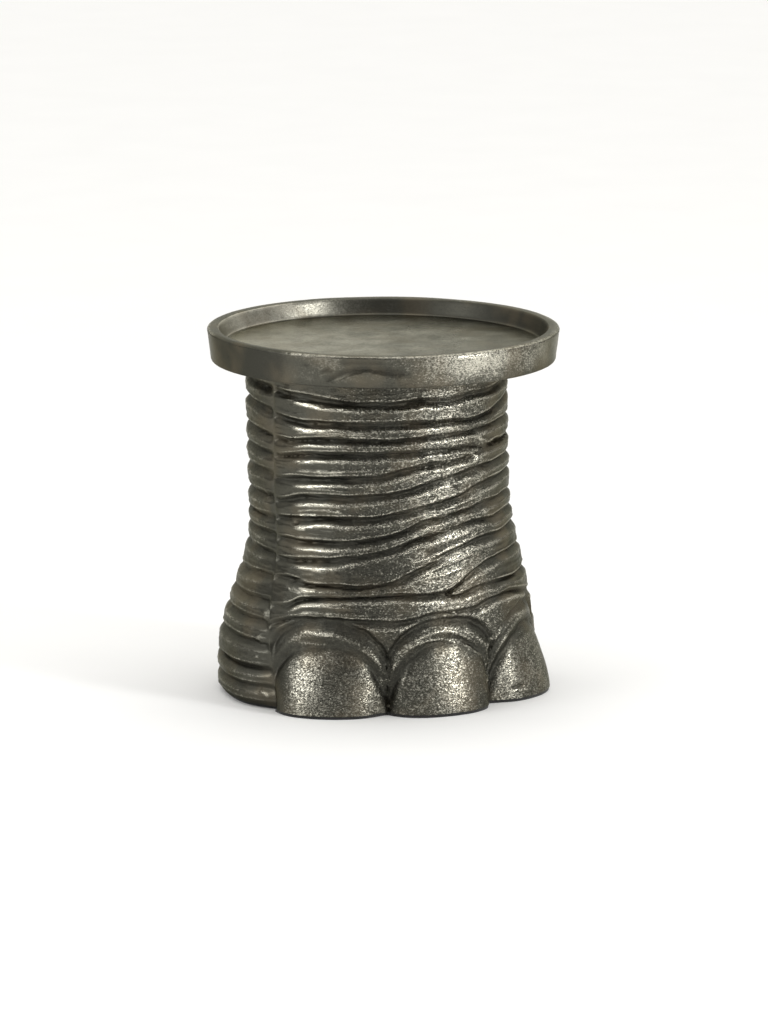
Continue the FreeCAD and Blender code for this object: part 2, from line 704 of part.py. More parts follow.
# The spring washer is a split ring
washer_ring, _ = revolved_body("spring_washer_ring", [
    ("sizes.bolt_hole_diameter / 2", "sizes.spring_washer_under_height"),
    ("sizes.spring_washer_diameter / 2", "sizes.spring_washer_under_height"),
    ("sizes.spring_washer_diameter / 2", "sizes.flat_washer_under_height"),
    ("sizes.bolt_hole_diameter / 2", "sizes.flat_washer_under_height"),
])
washer_split = doc.addObject("Part::Box", "spring_washer_split")
washer_split.setExpression("Length", "sizes.spring_washer_diameter")
washer_split.setExpression("Width", "sizes.spring_washer_gap")
washer_split.setExpression("Height", "sizes.spring_washer_thickness + 2 * sizes.overrun")
washer_split.setExpression("Placement.Base.y", "-sizes.spring_washer_gap / 2")
washer_split.setExpression("Placement.Base.z", "sizes.spring_washer_under_height - sizes.overrun")
spring_washer = cut("spring_washer", washer_ring, washer_split)

# The bolt: a hexagonal head and a shank that reaches into the boss
bolt_head = doc.addObject("Part::Prism", "bolt_head")
bolt_head.Polygon = 6
bolt_head.setExpression("Circumradius", "sizes.bolt_head_width / sqrt(3)")
bolt_head.setExpression("Height", "sizes.bolt_head_height")
bolt_head.setExpression("Placement.Base.z", "sizes.bolt_head_under_height")
bolt_shank = doc.addObject("Part::Cylinder", "bolt_shank")
bolt_shank.setExpression("Radius", "sizes.bolt_thread_diameter / 2")
bolt_shank.setExpression("Height", "sizes.bolt_length + sizes.bolt_head_height")
bolt_shank.setExpression("Placement.Base.z", "sizes.bolt_head_under_height")
clamp_bolt = doc.addObject("Part::Fuse", "clamp_bolt")
clamp_bolt.Base = bolt_head
clamp_bolt.Tool = bolt_shank


# The sheet pad under the foot is cut to the foot's outline
def pad_outline():
    edges = []
    for net in (front_net, rear_net):
        line = []
        for point in net[0]:
            flat = Vector(point.x, point.y, 0)
            line.append(flat * (1 - size("pad_inset") / flat.Length))
        knots, mults = open_knots(len(line))
        curve = Part.BSplineCurve()
        curve.buildFromPolesMultsKnots(line, mults, knots, False, SPLINE_DEGREE)
        edges.append(curve)
    front, rear = edges
    return Part.Wire([front.toShape(), chord(front.EndPoint, rear.StartPoint),
                      rear.toShape(), chord(rear.EndPoint, front.StartPoint)])


pad_profile = feature("pad_profile", pad_outline())
base_pad = doc.addObject("Part::Extrusion", "base_pad")
base_pad.Base = pad_profile
base_pad.DirMode = "Custom"
base_pad.Dir = Vector(0, 0, 1)
base_pad.Solid = True
base_pad.setExpression("LengthFwd", "sizes.pad_thickness")

doc.recompute()

SUBPARTS = {
    "tray": tray,
    "foot_front_shell": foot_front_shell,
    "foot_rear_shell": foot_rear_shell,
    "seam_weld_left": seam_weld_left,
    "seam_weld_right": seam_weld_right,
    "clamp_bar": clamp_bar,
    "flat_washer": flat_washer,
    "spring_washer": spring_washer,
    "clamp_bolt": clamp_bolt,
    "base_pad": base_pad,
}

for thing in doc.Objects:
    for trouble in ("Invalid", "Error"):
        if trouble in thing.State:
            raise RuntimeError(f"{thing.Name} is {thing.State}")
for name, thing in SUBPARTS.items():
    thing.Label = name
    shape = thing.Shape
    if shape.isNull() or not shape.isValid() or not shape.Solids:
        raise RuntimeError(f"{name} has no sound solid")
for name, thing in SUBPARTS.items():
    shape = thing.Shape
    shape.exportStep(f"parts/{name}.step")
    box = shape.BoundBox
    print(f"{name}: {len(shape.Solids)} solid, {shape.Volume / 1000:.1f} cm3, "
          f"x {box.XMin:.1f} {box.XMax:.1f}, y {box.YMin:.1f} {box.YMax:.1f}, "
          f"z {box.ZMin:.1f} {box.ZMax:.1f}")
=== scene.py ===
# %% [markdown]
# # A candle stand in the form of an elephant's foot
# The real object is a round dish tray on a hollow leg of two sand castings, blackened and then rubbed
# back, so that the crests shine and the creases stay dark. The engineering model gives every size and
# place. This lesson puts the real surface on it: skin folds, toes, a worn tray and their metals.
# We start by loading that model.

# %% Load the frame
import math

import bpy
import numpy as np
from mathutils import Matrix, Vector, noise


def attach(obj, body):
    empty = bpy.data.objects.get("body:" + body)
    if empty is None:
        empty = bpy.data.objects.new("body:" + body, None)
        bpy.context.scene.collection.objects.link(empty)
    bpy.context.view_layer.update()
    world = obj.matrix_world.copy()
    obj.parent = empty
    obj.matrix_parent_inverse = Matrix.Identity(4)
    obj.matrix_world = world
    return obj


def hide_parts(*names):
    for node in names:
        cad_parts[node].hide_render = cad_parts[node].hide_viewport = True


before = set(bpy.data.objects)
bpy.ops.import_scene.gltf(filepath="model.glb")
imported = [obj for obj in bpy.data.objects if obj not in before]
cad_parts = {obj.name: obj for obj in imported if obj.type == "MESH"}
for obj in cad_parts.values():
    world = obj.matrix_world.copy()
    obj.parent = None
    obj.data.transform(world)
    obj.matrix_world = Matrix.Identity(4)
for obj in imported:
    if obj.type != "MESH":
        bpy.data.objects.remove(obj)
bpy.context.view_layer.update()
print("nodes:", sorted(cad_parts))

# %% [markdown]
# ## The camera
# The photograph was taken from far off with a long lens, a little above the rim and to the left of the
# toes. A camera is best placed by what it looks at: a target on the axis, a bearing, a height and a
# distance. The lens follows from how large the tray is in the picture.

# %% Place the camera
MM = 0.001
CAMERA_BEARING = math.radians(-27)
CAMERA_RISE = math.radians(11.38)
CAMERA_DISTANCE = 3.2
TARGET = Vector((0, 0, 0.078))
SENSOR = 36
PICTURE_HEIGHT = 1014
FOCAL_PIXELS = 7515
MIDDLE_SHIFT = 0.7


def seen_from(bearing, rise):
    """Direction from the object to a place, by its bearing from the toes and its rise above the floor."""
    level = math.cos(rise)
    return Vector((math.sin(bearing) * level, -math.cos(bearing) * level, math.sin(rise)))


def look_at(thing, place, target):
    """Puts a camera or a light at a place and turns it to a target."""
    thing.location = place
    thing.rotation_euler = (target - place).to_track_quat("-Z", "Y").to_euler()


to_camera = seen_from(CAMERA_BEARING, CAMERA_RISE)
bpy.ops.object.camera_add()
camera = bpy.context.object
camera.name = "photo_camera"
look_at(camera, TARGET + to_camera * CAMERA_DISTANCE, TARGET)
camera.data.sensor_width = SENSOR
camera.data.lens = FOCAL_PIXELS / PICTURE_HEIGHT * SENSOR
camera.data.shift_x = MIDDLE_SHIFT / PICTURE_HEIGHT
bpy.context.scene.camera = camera
print("lens:", round(camera.data.lens, 1), "mm")

# %% [markdown]
# ## The floor and the softboxes
# A dark metal is mostly a picture of what stands round it. Two softboxes stand beside the camera, a
# broad weak one on the left and a narrow strong one on the right, and give the two bright columns that
# run down the folds.

# %% Lay the floor
def settle():
    """Object mode, with nothing selected."""
    if bpy.context.object and bpy.context.object.mode != "OBJECT":
        bpy.ops.object.mode_set(mode="OBJECT")
    bpy.ops.object.select_all(action="DESELECT")


FLOOR_SIZE = 24
settle()
bpy.ops.mesh.primitive_plane_add(size=FLOOR_SIZE)
floor = bpy.context.object
floor.name = "studio_floor"
print("floor:", FLOOR_SIZE, "m across")

# %% Set the softboxes
def softbox(name, bearing, rise, distance, width, height, power):
    """A soft area light, at a bearing in degrees from the camera's own."""
    settle()
    bpy.ops.object.light_add(type="AREA")
    lamp = bpy.context.object
    lamp.name = name
    lamp.data.shape = "RECTANGLE"
    lamp.data.size = width
    lamp.data.size_y = height
    lamp.data.energy = power
    direction = seen_from(CAMERA_BEARING + math.radians(bearing), math.radians(rise))
    look_at(lamp, TARGET + direction * distance, TARGET)


softbox("left_softbox", bearing=-60, rise=20, distance=1.5, width=0.75, height=0.5, power=6)
softbox("right_softbox", bearing=57, rise=18, distance=1.5, width=0.26, height=0.8, power=12)

# %% [markdown]
# ## Writing nodes as sums
# The room's light and every material are nets of nodes, which are slow to read as a picture. Here a
# socket is wrapped so that sums on it add Math nodes, and every other node comes from one method.

# %% Wrap a socket
class Signal:
    """A number, colour or vector that flows out of a node."""

    def __init__(self, finish, socket):
        self.finish = finish
        self.socket = socket

    def sum_node(self, operation, *values):
        return self.finish.node("Math", {"operation": operation}, values)

    def __add__(self, other):
        return self.sum_node("ADD", self, other)

    def __sub__(self, other):
        return self.sum_node("SUBTRACT", self, other)

    def __rsub__(self, other):
        return self.sum_node("SUBTRACT", other, self)

    def __mul__(self, other):
        return self.sum_node("MULTIPLY", self, other)

    __radd__ = __add__
    __rmul__ = __mul__

    def clamped(self):
        """The same number, kept between 0 and 1."""
        return self.sum_node("MINIMUM", self.sum_node("MAXIMUM", self, 0), 1)

    def unsigned(self):
        """The same number without its sign."""
        return self.sum_node("ABSOLUTE", self)


class Finish:
    """The nodes of one material or of the room, made by short calls."""

    def __init__(self, owner, shader="Principled BSDF"):
        owner.use_nodes = True
        self.owner = owner
        self.tree = owner.node_tree
        self.shader = self.tree.nodes[shader]

    def node(self, kind, settings=None, values=(), output=0):
        """A node of a kind, with its settings made first and then its sockets filled."""
        made = self.tree.nodes.new("ShaderNode" + kind)
        for name, value in (settings or {}).items():
            setattr(made, name, value)
        pairs = values.items() if isinstance(values, dict) else enumerate(values)
        for place, value in pairs:
            if isinstance(value, Signal):
                self.tree.links.new(value.socket, made.inputs[place])
            else:
                made.inputs[place].default_value = value
        return Signal(self, made.outputs[output])

    def places(self, scale=(1, 1, 1)):
        """The object's own coordinates in millimetres, stretched by a scale."""
        where = self.node("TexCoord", output="Object")
        per_metre = [part / MM for part in scale]
        return self.node("Mapping", values={"Vector": where, "Scale": per_metre})

    def noise(self, where, scale, detail=2.0, rough=0.5):
        """Noise between 0 and 1, with blots of about 1 / scale millimetres."""
        return self.node("TexNoise",
                         values={"Vector": where, "Scale": scale, "Detail": detail, "Roughness": rough})

    def painted(self, name):
        """A share that was stored at every point of the piece."""
        return self.node("Attribute", {"attribute_name": name}, output="Fac")

    def step(self, value, low, high):
        """Rises smoothly from 0 to 1 as the value goes from low to high."""
        return self.node("MapRange", {"interpolation_type": "SMOOTHSTEP"},
                         {"Value": value, "From Min": low, "From Max": high})

    def mix(self, share, first, second):
        """One colour or the other, by share."""
        return self.node("Mix", {"data_type": "RGBA"}, {0: share, 6: first, 7: second}, output=2)

    def bumped(self, height, distance, strength=1.0, normal=None):
        """A normal tilted by a height, where 1 is a distance in millimetres."""
        values = {"Height": height, "Distance": distance * MM, "Strength": strength}
        if normal:
            values["Normal"] = normal
        return self.node("Bump", values=values)

    def set(self, **sockets):
        """Links or sets the shader's own sockets."""
        for name, value in sockets.items():
            socket = self.shader.inputs[name.replace("_", " ").title()]
            if isinstance(value, Signal):
                self.tree.links.new(value.socket, socket)
            else:
                socket.default_value = value


print("signals add, subtract and multiply")

# %% [markdown]
# ## The room
# The room is bright overhead and on the wall that the camera faces, which lights the floor and greys
# the dish. It is dim on the camera's own side, which keeps the leg's middle dark. One dot product gives
# all of that: how far each direction points up and away from the camera.

# %% Light the room
FAR_WALL_PULL = 0.52
OVERHEAD_PULL = 0.95
ROOM_RANGE = {"From Min": 0.05, "From Max": 1.0, "To Min": 0.12, "To Max": 1.5}
ROOM_COLOUR = (1, 0.99, 0.97, 1)

world = bpy.data.worlds.new("studio_room")
bpy.context.scene.world = world
room = Finish(world, "Background")
direction = room.node("TexCoord", output="Generated")
brightest = (-to_camera.x * FAR_WALL_PULL, -to_camera.y * FAR_WALL_PULL, OVERHEAD_PULL)
facing = room.node("VectorMath", {"operation": "DOT_PRODUCT"}, [direction, brightest], output="Value")
strength = room.node("MapRange", {"interpolation_type": "SMOOTHSTEP"}, {"Value": facing, **ROOM_RANGE})
room.set(color=ROOM_COLOUR, strength=strength)
bpy.context.scene.view_settings.view_transform = "Standard"
print("room strength:", ROOM_RANGE["To Min"], "to", ROOM_RANGE["To Max"])

# %% [markdown]
# ## Lines drawn one by one
# Every crease and ridge below is a short row of points, chosen from the photograph, with a
# smooth line through them. A line keeps to its points, and its slope at each point is that of its two
# neighbours. The same few points then shape the metal, darken the crease and brighten the crest.

# %% Draw smooth lines through points
def smooth_line(points, where):
    """Values of a smooth line through points of (place, value), at an array of places."""
    places, values = np.array(list(points), float).T
    last = len(places) - 1
    before = np.maximum(np.arange(last + 1) - 1, 0)
    after = np.minimum(np.arange(last + 1) + 1, last)
    slopes = (values[after] - values[before]) / (places[after] - places[before])
    where = np.clip(where, places[0], places[-1])
    left = np.clip(np.searchsorted(places, where) - 1, 0, last - 1)
    span = places[left + 1] - places[left]
    share = (where - places[left]) / span
    rise = values[left + 1] - values[left]
    square, cube = share ** 2, share ** 3
    return (values[left] + slopes[left] * span * (share - 2 * square + cube)
            + rise * (3 * square - 2 * cube) + slopes[left + 1] * span * (cube - square))


def ease(share):
    """Eases from 0 to 1 as share goes from 0 to 1."""
    share = np.clip(share, 0, 1)
    return share * share * (3 - 2 * share)


def fade(height, low, high):
    """Falls from 1 at and below low to 0 at and above high, as half a cosine wave."""
    return (1 + np.cos(np.pi * np.clip((height - low) / (high - low), 0, 1))) / 2


def bell(distance, width):
    """A bell curve, 1 at no distance and near 0 from two widths on."""
    return np.exp(-(distance / width) ** 2)


def wander(across, up, width, height, seed):
    """Smooth noise between about -1 and 1, with blots of a width and height."""
    places = zip(across / width, up / height)
    return np.array([noise.noise((x, y, seed)) for x, y in places]) * 1.6


print("halfway up a line:", smooth_line([(0, 0), (1, 1), (2, 4)], np.array([0.5]))[0])

# %% [markdown]
# ## Strokes
# Small ridges, nicks and lumps are strokes, as a modeller would make them with a wire tool: a path, a
# width, and a rise that is minus for a groove. Angles are counted from the middle of the photograph,
# because that is where they were read off, and turned to the toes in one place.

# %% Press strokes into a surface
PHOTO_TURN = 27
STROKE_STEP = 0.4


def stroke_path(points, per_degree):
    """A stroke's points as a fine smooth path in millimetres, with the share of its length at each."""
    flat = np.array([((angle - PHOTO_TURN) * per_degree, up) for angle, up in points])
    runs = np.append(0, np.cumsum(np.hypot(*np.diff(flat, axis=0).T)))
    steps = np.linspace(0, runs[-1], int(runs[-1] / STROKE_STEP) + 2)
    across, up = (smooth_line(zip(runs, part), steps) for part in flat.T)
    return across, up, steps / runs[-1]


def press(strokes, angle, height, per_degree):
    """Relief of all strokes at places of a surface, with how much each place is grooved and raised."""
    across = angle * per_degree
    relief, grooved, raised = (np.zeros(len(angle)) for _ in range(3))
    for rise, width, points in strokes:
        path_across, path_up, share = stroke_path(points, per_degree)
        reach = 2.5 * width
        near = np.nonzero((across > path_across.min() - reach) & (across < path_across.max() + reach)
                          & (height > path_up.min() - reach) & (height < path_up.max() + reach))[0]
        if not len(near):
            continue
        gaps = np.hypot(across[near, None] - path_across, height[near, None] - path_up)
        nearest = gaps.argmin(axis=1)
        taper = ease(np.minimum(share[nearest], 1 - share[nearest]) * 6 + 0.15)
        mark = bell(gaps.min(axis=1), width) * taper
        relief[near] += rise * mark
        marked = grooved if rise < 0 else raised
        marked[near] = np.maximum(marked[near], mark * min(abs(rise) / 0.4, 1))
    return relief, grooved, raised


print("strokes are sampled every", STROKE_STEP, "mm")

# %% [markdown]
# ## The leg's plan
# These are the sizes of the engineering model, in millimetres: a waist, a flare over the toes and one
# over the heel, and a leg that leans a little as it rises. The skin is drawn on top of this plan.

# %% Plan the leg
PAD_TOP = 1.3
LEG_TOP = 144.3
LIP_UNDER = 138.3
LIP_BORE = 36
WAIST = 55.8
HEEL_FLARE = 15
HEEL_STRAIGHT, HEEL_BLEND = 14, 76
INSTEP_FLARE, SIDE_TOE_FLARE = 5, 8
INSTEP_STRAIGHT, INSTEP_BLEND = 30, 88
TOE_REACH = 70.4
SHIFT_LEFT, SHIFT_BACK = 1.5, 3.5
WALL = 4.5
FOLD_DEPTH = 2
CREASE_DEPTH = 1.3
TOE_MIDDLES = (-50, 0, 50)
TOE_HALF_WIDTH = 25
FRONT_EDGE, FRONT_BLEND = 90, 30
KINK_ROUNDING = 0.05
JOINT_FORWARD, JOINT_LEAN, JOINT_LEAN_TOP = 7, 17, 90


def leg_middle(height):
    """Where the leaning leg's middle is at a height."""
    share = ease(height / LEG_TOP)
    return -SHIFT_LEFT * share, SHIFT_BACK * share


def plan_radius(angle, height):
    """Radius of the leg over the folds' crests, without the toes."""
    off_front = np.abs(angle)
    share = off_front / TOE_MIDDLES[2]
    # The corner at the side toe's middle is rounded, because light would show it as a hard edge
    corner = KINK_ROUNDING * np.maximum(1 - 5 * np.abs(share - 1), 0) ** 2
    side = (np.minimum(share, 1) - corner) ** 2
    flare = INSTEP_FLARE + (SIDE_TOE_FLARE - INSTEP_FLARE) * side
    front = flare * fade(height, INSTEP_STRAIGHT, INSTEP_BLEND)
    heel = HEEL_FLARE * fade(height, HEEL_STRAIGHT, HEEL_BLEND)
    return WAIST + heel + (front - heel) * ease((FRONT_EDGE - off_front) / FRONT_BLEND)


def joint_offset(height):
    """Y of the joint between the two castings."""
    lean = np.maximum(1 - height / JOINT_LEAN_TOP, 0) ** 1.2
    return -(JOINT_FORWARD + JOINT_LEAN * lean)


print("waist:", 2 * WAIST, "mm, heel:", 2 * (WAIST + HEEL_FLARE), "mm")

# %% [markdown]
# ## Skin folds
# A fold on this casting isn't a wave. Under each crease the skin comes out fast to a bright crest, falls
# back slowly to a thin lip, and then turns in under the lip to the next crease. The undercut is dark,
# partly because dirt stays where a polishing wheel can't reach and partly as painted shade under the
# lip. The top of each shoulder, just under the crease, gets painted shade too, and the crest a painted
# highlight. So one function gives the dip, the darkening, the crest and the lip from the distances to
# the crease above and the crease below. The bottom of a crease is rounded, as molten metal leaves it,
# and a lip has a thin ridge of its own.

# %% Shape one fold after another
FOLD_SHOULDER = 3
FOLD_UNDERCUT = 2
REAR_FOLD_DEPTH = 2.6
REAR_FOLD_SHOULDER = 3.4
REAR_FOLD_UNDERCUT = 2.6
SHOULDER_SHARE, UNDERCUT_SHARE, DEPTH_SHARE = 0.42, 0.3, 0.3
LEAST_GAP = 0.1
LIP_LOSS_SHARE = 0.2
CREASE_ROUNDING = 0.38
UNDERCUT_CURVE = 1.15
LIP_RIDGE, LIP_WIDTH = 0.2, 0.4


def folds(height, creases, depth, most_shoulder=FOLD_SHOULDER, most_undercut=FOLD_UNDERCUT):
    """Dip, darkening from patina and painted shade, painted crest highlight and lip of folded skin,
    from an array of crease heights at every place.
    """
    ends = [np.full_like(height, PAD_TOP), np.full_like(height, LEG_TOP + 5)]
    levels = np.sort(np.stack(ends + list(creases)), axis=0)
    under = np.clip((levels <= height).sum(axis=0) - 1, 0, len(levels) - 2)
    low = np.take_along_axis(levels, under[None], 0)[0]
    high = np.take_along_axis(levels, under[None] + 1, 0)[0]
    gap = np.maximum(high - low, LEAST_GAP)
    from_top, from_bottom = high - height, height - low
    shoulder = np.minimum(most_shoulder, SHOULDER_SHARE * gap)
    undercut = np.minimum(most_undercut, UNDERCUT_SHARE * gap)
    deep = np.minimum(depth, DEPTH_SHARE * gap)
    loss = LIP_LOSS_SHARE * deep
    slow_run = np.maximum(gap - shoulder - undercut, LEAST_GAP)
    slow = loss * np.clip((from_top - shoulder) / slow_run, 0, 1)
    round_top = np.hypot(from_top, CREASE_ROUNDING)
    round_bottom = np.hypot(from_bottom, CREASE_ROUNDING)
    out = deep * (1 - np.sin(np.pi / 2 * np.clip(round_top / shoulder, 0, 1)))
    turn_in = (deep - loss) * np.clip(1 - round_bottom / undercut, 0, 1) ** UNDERCUT_CURVE
    dip = out + slow + turn_in
    strength = np.clip(deep / FOLD_DEPTH, 0, 1)
    # Dark undercut: dirt left where a wheel can't reach, and painted shade under the lip
    patina_and_painted_shade = strength * np.clip(1 - from_bottom / undercut, 0, 1) ** 0.8
    # Painted shade on the top of each shoulder, just under the crease above
    patina_and_painted_shade = np.maximum(patina_and_painted_shade, 0.75 * strength * bell(from_top, 0.45 * shoulder))
    # Painted highlight along the crest, where the softboxes reflect
    crest = bell(from_top - 0.85 * shoulder, 0.28 * shoulder)
    lip = bell(from_bottom - undercut - LIP_WIDTH / 2, LIP_WIDTH)
    return dip - LIP_RIDGE * strength * lip, patina_and_painted_shade, strength * crest, strength * lip


sample = folds(np.array([50.0, 53.5, 58.0]), [np.full(3, 50.0), np.full(3, 60.0)], 2.2)
print("dips at the crease, the lip and the crest:", np.round(sample[0], 2))

# %% [markdown]
# ## The front casting's lines
# Thirteen creases cross the front, each a row of angles from the toes with heights in percent of the
# leg's. They rise to the right, and two of them fork. The finer ridges, fold ends, nicks and lumps
# between them are strokes.

# %% Draw the front's creases
ANKLE_CREASE = {-77: 30.5, -67: 30.8, -60: 33.5, -47: 34.8, -27: 35.6, -7: 35}
FRONT_CREASES = [
    {-77: 93.2, -57: 92.2, -37: 91.1, -17: 91.5, 3: 91.7, 33: 92.5, 78: 93.6},
    {-77: 85.6, -67: 84.8, -37: 85.2, -17: 85.6, 3: 85.2, 18: 84.8, 33: 85.9, 48: 88, 63: 89.4, 78: 89.4},
    {-77: 78.4, -67: 79, -57: 80, -37: 80.4, -17: 80.1, -7: 80.7, 23: 81.8, 63: 82.5, 78: 82.1},
    {-77: 73.8, -57: 75.7, -37: 76.6, -17: 77.1, 3: 77.1, 15: 76.9, 28: 76.2, 63: 76.6, 78: 76.3},
    {-77: 67.2, -57: 68.4, -37: 69.2, -27: 69.8, -17: 71.2, -7: 72.8, 8: 73.5, 18: 74.5, 28: 76.2,
     63: 76.6, 78: 76.3},
    {-77: 60.5, -67: 62.2, -57: 63.1, -37: 63.5, -27: 64.2, -17: 65.1, -7: 66.9, 3: 68.4, 23: 70,
     48: 70.9, 63: 71.4, 78: 70.7},
    {-77: 55.3, -57: 56.6, -27: 57.7, -17: 58.9, -7: 60.5, 3: 61.5, 13: 62.9, 23: 64.9, 63: 66.5,
     78: 65.1},
    {-77: 49.4, -57: 49.9, -37: 50.4, -27: 51.5, -17: 53.4, -7: 56, 3: 56.8, 23: 59.1, 63: 60.3,
     78: 59.6},
    {-77: 43.7, -52: 44.8, -37: 46.3, -27: 47.8, -17: 49.9, -7: 52, 3: 53.5, 18: 55, 33: 54.6, 63: 55.4,
     78: 54.7},
    {-77: 38.1, -69: 38.8, -57: 37.6, -37: 37.6, -27: 38.3, -17: 40.2, -7: 43.7, 3: 46.4, 18: 48.9,
     63: 50.2, 78: 49.9},
    ANKLE_CREASE | {1: 35.1, 7: 37, 13: 39.5, 21: 41.8, 38: 43.3, 63: 44, 78: 43.7},
    ANKLE_CREASE | {1: 35, 11: 35.1, 18: 35.7, 48: 36.2, 63: 36.7, 78: 36.7},
    {-77: 24.3, -65: 27.4, -47: 27.9, -27: 27.7, -22: 27.4, -12: 28.4, -7: 29.5, 13: 29.9, 21: 31.2,
     37: 32.6, 48: 31.5, 63: 29.1, 78: 28.4},
]
print("front creases:", len(FRONT_CREASES))

# %% Draw the front's fine strokes
FRONT_STROKES = [
    # Fine ridges that fan out to the right, over the middle toe
    (0.45, 0.8, [(16, 60), (24, 62.2), (32, 64), (40, 66), (46, 67.2)]),
    (0.45, 0.8, [(18, 64), (27, 66), (35, 67.8), (42, 69), (48, 68.2)]),
    (0.55, 1.0, [(10, 65), (20, 66.5), (28, 69), (36, 71.2), (44, 73.6), (49, 75)]),
    (0.4, 0.8, [(18, 71.8), (28, 73), (38, 74.8), (44, 76.2)]),
    (0.4, 0.7, [(14, 57.5), (24, 59), (32, 60.2), (39, 61.8)]),
    (0.5, 0.7, [(30, 51.3), (36, 53.8), (41, 56), (45, 58.2)]),
    (0.4, 0.7, [(33, 51.4), (39, 54), (44, 56.4), (49, 57.6)]),
    (-0.6, 0.8, [(29, 51.5), (35, 54.6), (40, 57), (45, 59.8), (50, 60.2)]),
    (-0.35, 0.6, [(31, 51.2), (37, 53.6), (43, 56.8)]),
    (-0.35, 0.6, [(20, 60.6), (30, 62.6), (38, 64.3), (44, 65.6)]),
    (-0.4, 0.7, [(18, 68), (28, 70.6), (38, 73), (45, 74.8)]),
    (0.4, 0.8, [(22, 76.4), (31, 77.8), (38, 79.6), (45, 80.8)]),
    (0.4, 0.7, [(20, 83.4), (28, 84.8), (36, 86)]),
    (0.45, 0.7, [(24, 85.4), (34, 87), (43, 88.8), (50, 90)]),
    (-0.35, 0.7, [(22, 84.6), (32, 86.2), (42, 87.8), (48, 89)]),
    # The end of a fold that curls back, and its hollow
    (0.6, 0.8, [(38, 109.4), (43, 109.2), (47, 107.9), (49.4, 106.1), (47, 104.8), (43, 104.2), (39, 104)]),
    (-0.6, 1.1, [(41, 106.8), (44, 106.6), (46.5, 106.2)]),
    (0.5, 0.8, [(40, 115.2), (44, 115.8), (48, 115.2), (53, 113.4), (58, 111.8), (64, 111.2)]),
    (0.35, 1.2, [(38, 97.2), (43, 98), (48, 98.6)]),
    (-0.7, 0.6, [(34, 97.4), (36, 95.8), (38, 94.2)]),
    (0.4, 0.9, [(50, 82.4), (53, 82.2), (56, 82.8)]),
    (0.3, 0.9, [(49, 90.4), (51, 88.8)]),
    # Thin drawn lines on the left, and a fold that ends in a rounded lens
    (0.3, 0.6, [(-40, 84.4), (-32, 85.8), (-24, 86.4), (-14, 85.8)]),
    (0.25, 0.6, [(-44, 82.2), (-34, 83.6), (-26, 84)]),
    (0.3, 0.6, [(-42, 101), (-36, 102), (-26, 102.4), (-14, 103.4), (0, 104.4), (12, 105.6)]),
    (0.25, 0.6, [(-34, 94.8), (-24, 95.2), (-12, 94.8)]),
    (0.25, 0.6, [(-40, 118), (-30, 118.8), (-18, 119.4), (0, 119.2)]),
    (-0.6, 0.8, [(-28, 57.6), (-34, 57.2), (-38, 56), (-39.4, 54.4), (-37.6, 52.6), (-32, 51.6)]),
    (0.45, 0.8, [(-36, 52.9), (-31, 53), (-26, 53.2)]),
    (-0.9, 0.8, [(-41.5, 78.6), (-39.5, 79.2), (-37.5, 79.4)]),
    (0.4, 0.7, [(-42, 78), (-38, 77.4), (-33, 77.6)]),
    (0.3, 0.6, [(-36, 45.4), (-28, 46.4), (-18, 46.8), (-10, 46.4)]),
    (0.25, 0.5, [(-36, 42.2), (-26, 43.6), (-14, 43.8), (-4, 43.4)]),
    (-0.25, 0.4, [(-5, 46.4), (-3.4, 44.8), (-2, 43.4)]),
    # Ridges at the middle toe's cuticle
    (0.5, 0.7, [(5, 26.5), (9, 30), (14, 32.8), (20, 35), (27, 35.4), (33, 33.4), (38, 30.6), (43, 26.6)]),
    (0.35, 0.6, [(14, 35), (20, 37.2), (26, 37.2), (32, 35.6), (37, 33), (41, 30)]),
    (0.45, 0.7, [(8, 27.4), (13, 30.4), (20, 32), (28, 31.4), (34, 29.6), (39, 26.4), (44, 22.8),
                 (48, 19.6)]),
    (0.5, 0.9, [(4, 19), (4.6, 22.5), (5.6, 26), (7.5, 29)]),
    # The right toe: the inner ridge, the cuticle and a slit beside the nail
    (0.7, 1.2, [(46.5, 25), (49.5, 27.6), (53, 30.6), (57, 34.2)]),
    (0.5, 0.8, [(58, 30.4), (62, 34), (68, 36.2), (76, 36.4)]),
    (0.5, 0.9, [(59, 43), (62, 44), (65, 44.6)]),
    (-0.9, 0.8, [(53, 21), (52.4, 17.6), (51.2, 14.4), (49.6, 11.8)]),
    (0.5, 0.6, [(47.6, 20), (48.6, 16.5), (47.4, 13), (46.4, 10.6)]),
    (-0.8, 0.7, [(60.5, 5.6), (63, 6.6), (65.5, 6)]),
    (0.35, 0.7, [(62, 4.4), (65, 4.8), (67, 4)]),
    # The left toe: lumps above the nail, and the band beside it
    (0.4, 1.2, [(-35, 34), (-30, 35.2), (-24, 34.8), (-17, 35.2)]),
    (0.3, 0.9, [(-35, 29.6), (-31, 30.6), (-27, 30.1), (-22, 30.4)]),
    (0.5, 0.9, [(-9, 29.6), (-6, 27.4), (-3, 24.4), (-0.5, 21.8)]),
    (0.35, 0.8, [(-1.6, 16.6), (-0.6, 14.2), (-0.2, 12)]),
    (0.3, 0.9, [(-10, 38.4), (-4, 38.2), (2, 37.8)]),
]
print("front strokes:", len(FRONT_STROKES))

# %% [markdown]
# ## Toes
# Each toe is a nail, a smooth swell that ends in an arched crease, inside a wider arch where the skin
# begins. Both arches come from one formula, so they nest as on the real foot. The outline on the
# ground is a row again, in percent of the toes' reach, with a notch between the toes.

# %% Shape the toes
TOE_HEIGHT = 31
CUTICLE_HEIGHT = 40
WEB_HEIGHT = 22
TOE_CURVE = 1.7
FOOT_OUTLINE = {
    0: 91, 8: 90.7, 14: 89.1, 19: 86.2, 25: 79.7, 29: 82.2, 33: 87.7, 38: 92.2,
    44: 95.8, 50: 98.5, 58: 100, 65: 98.7, 70: 95.7, 76: 93.5,
}


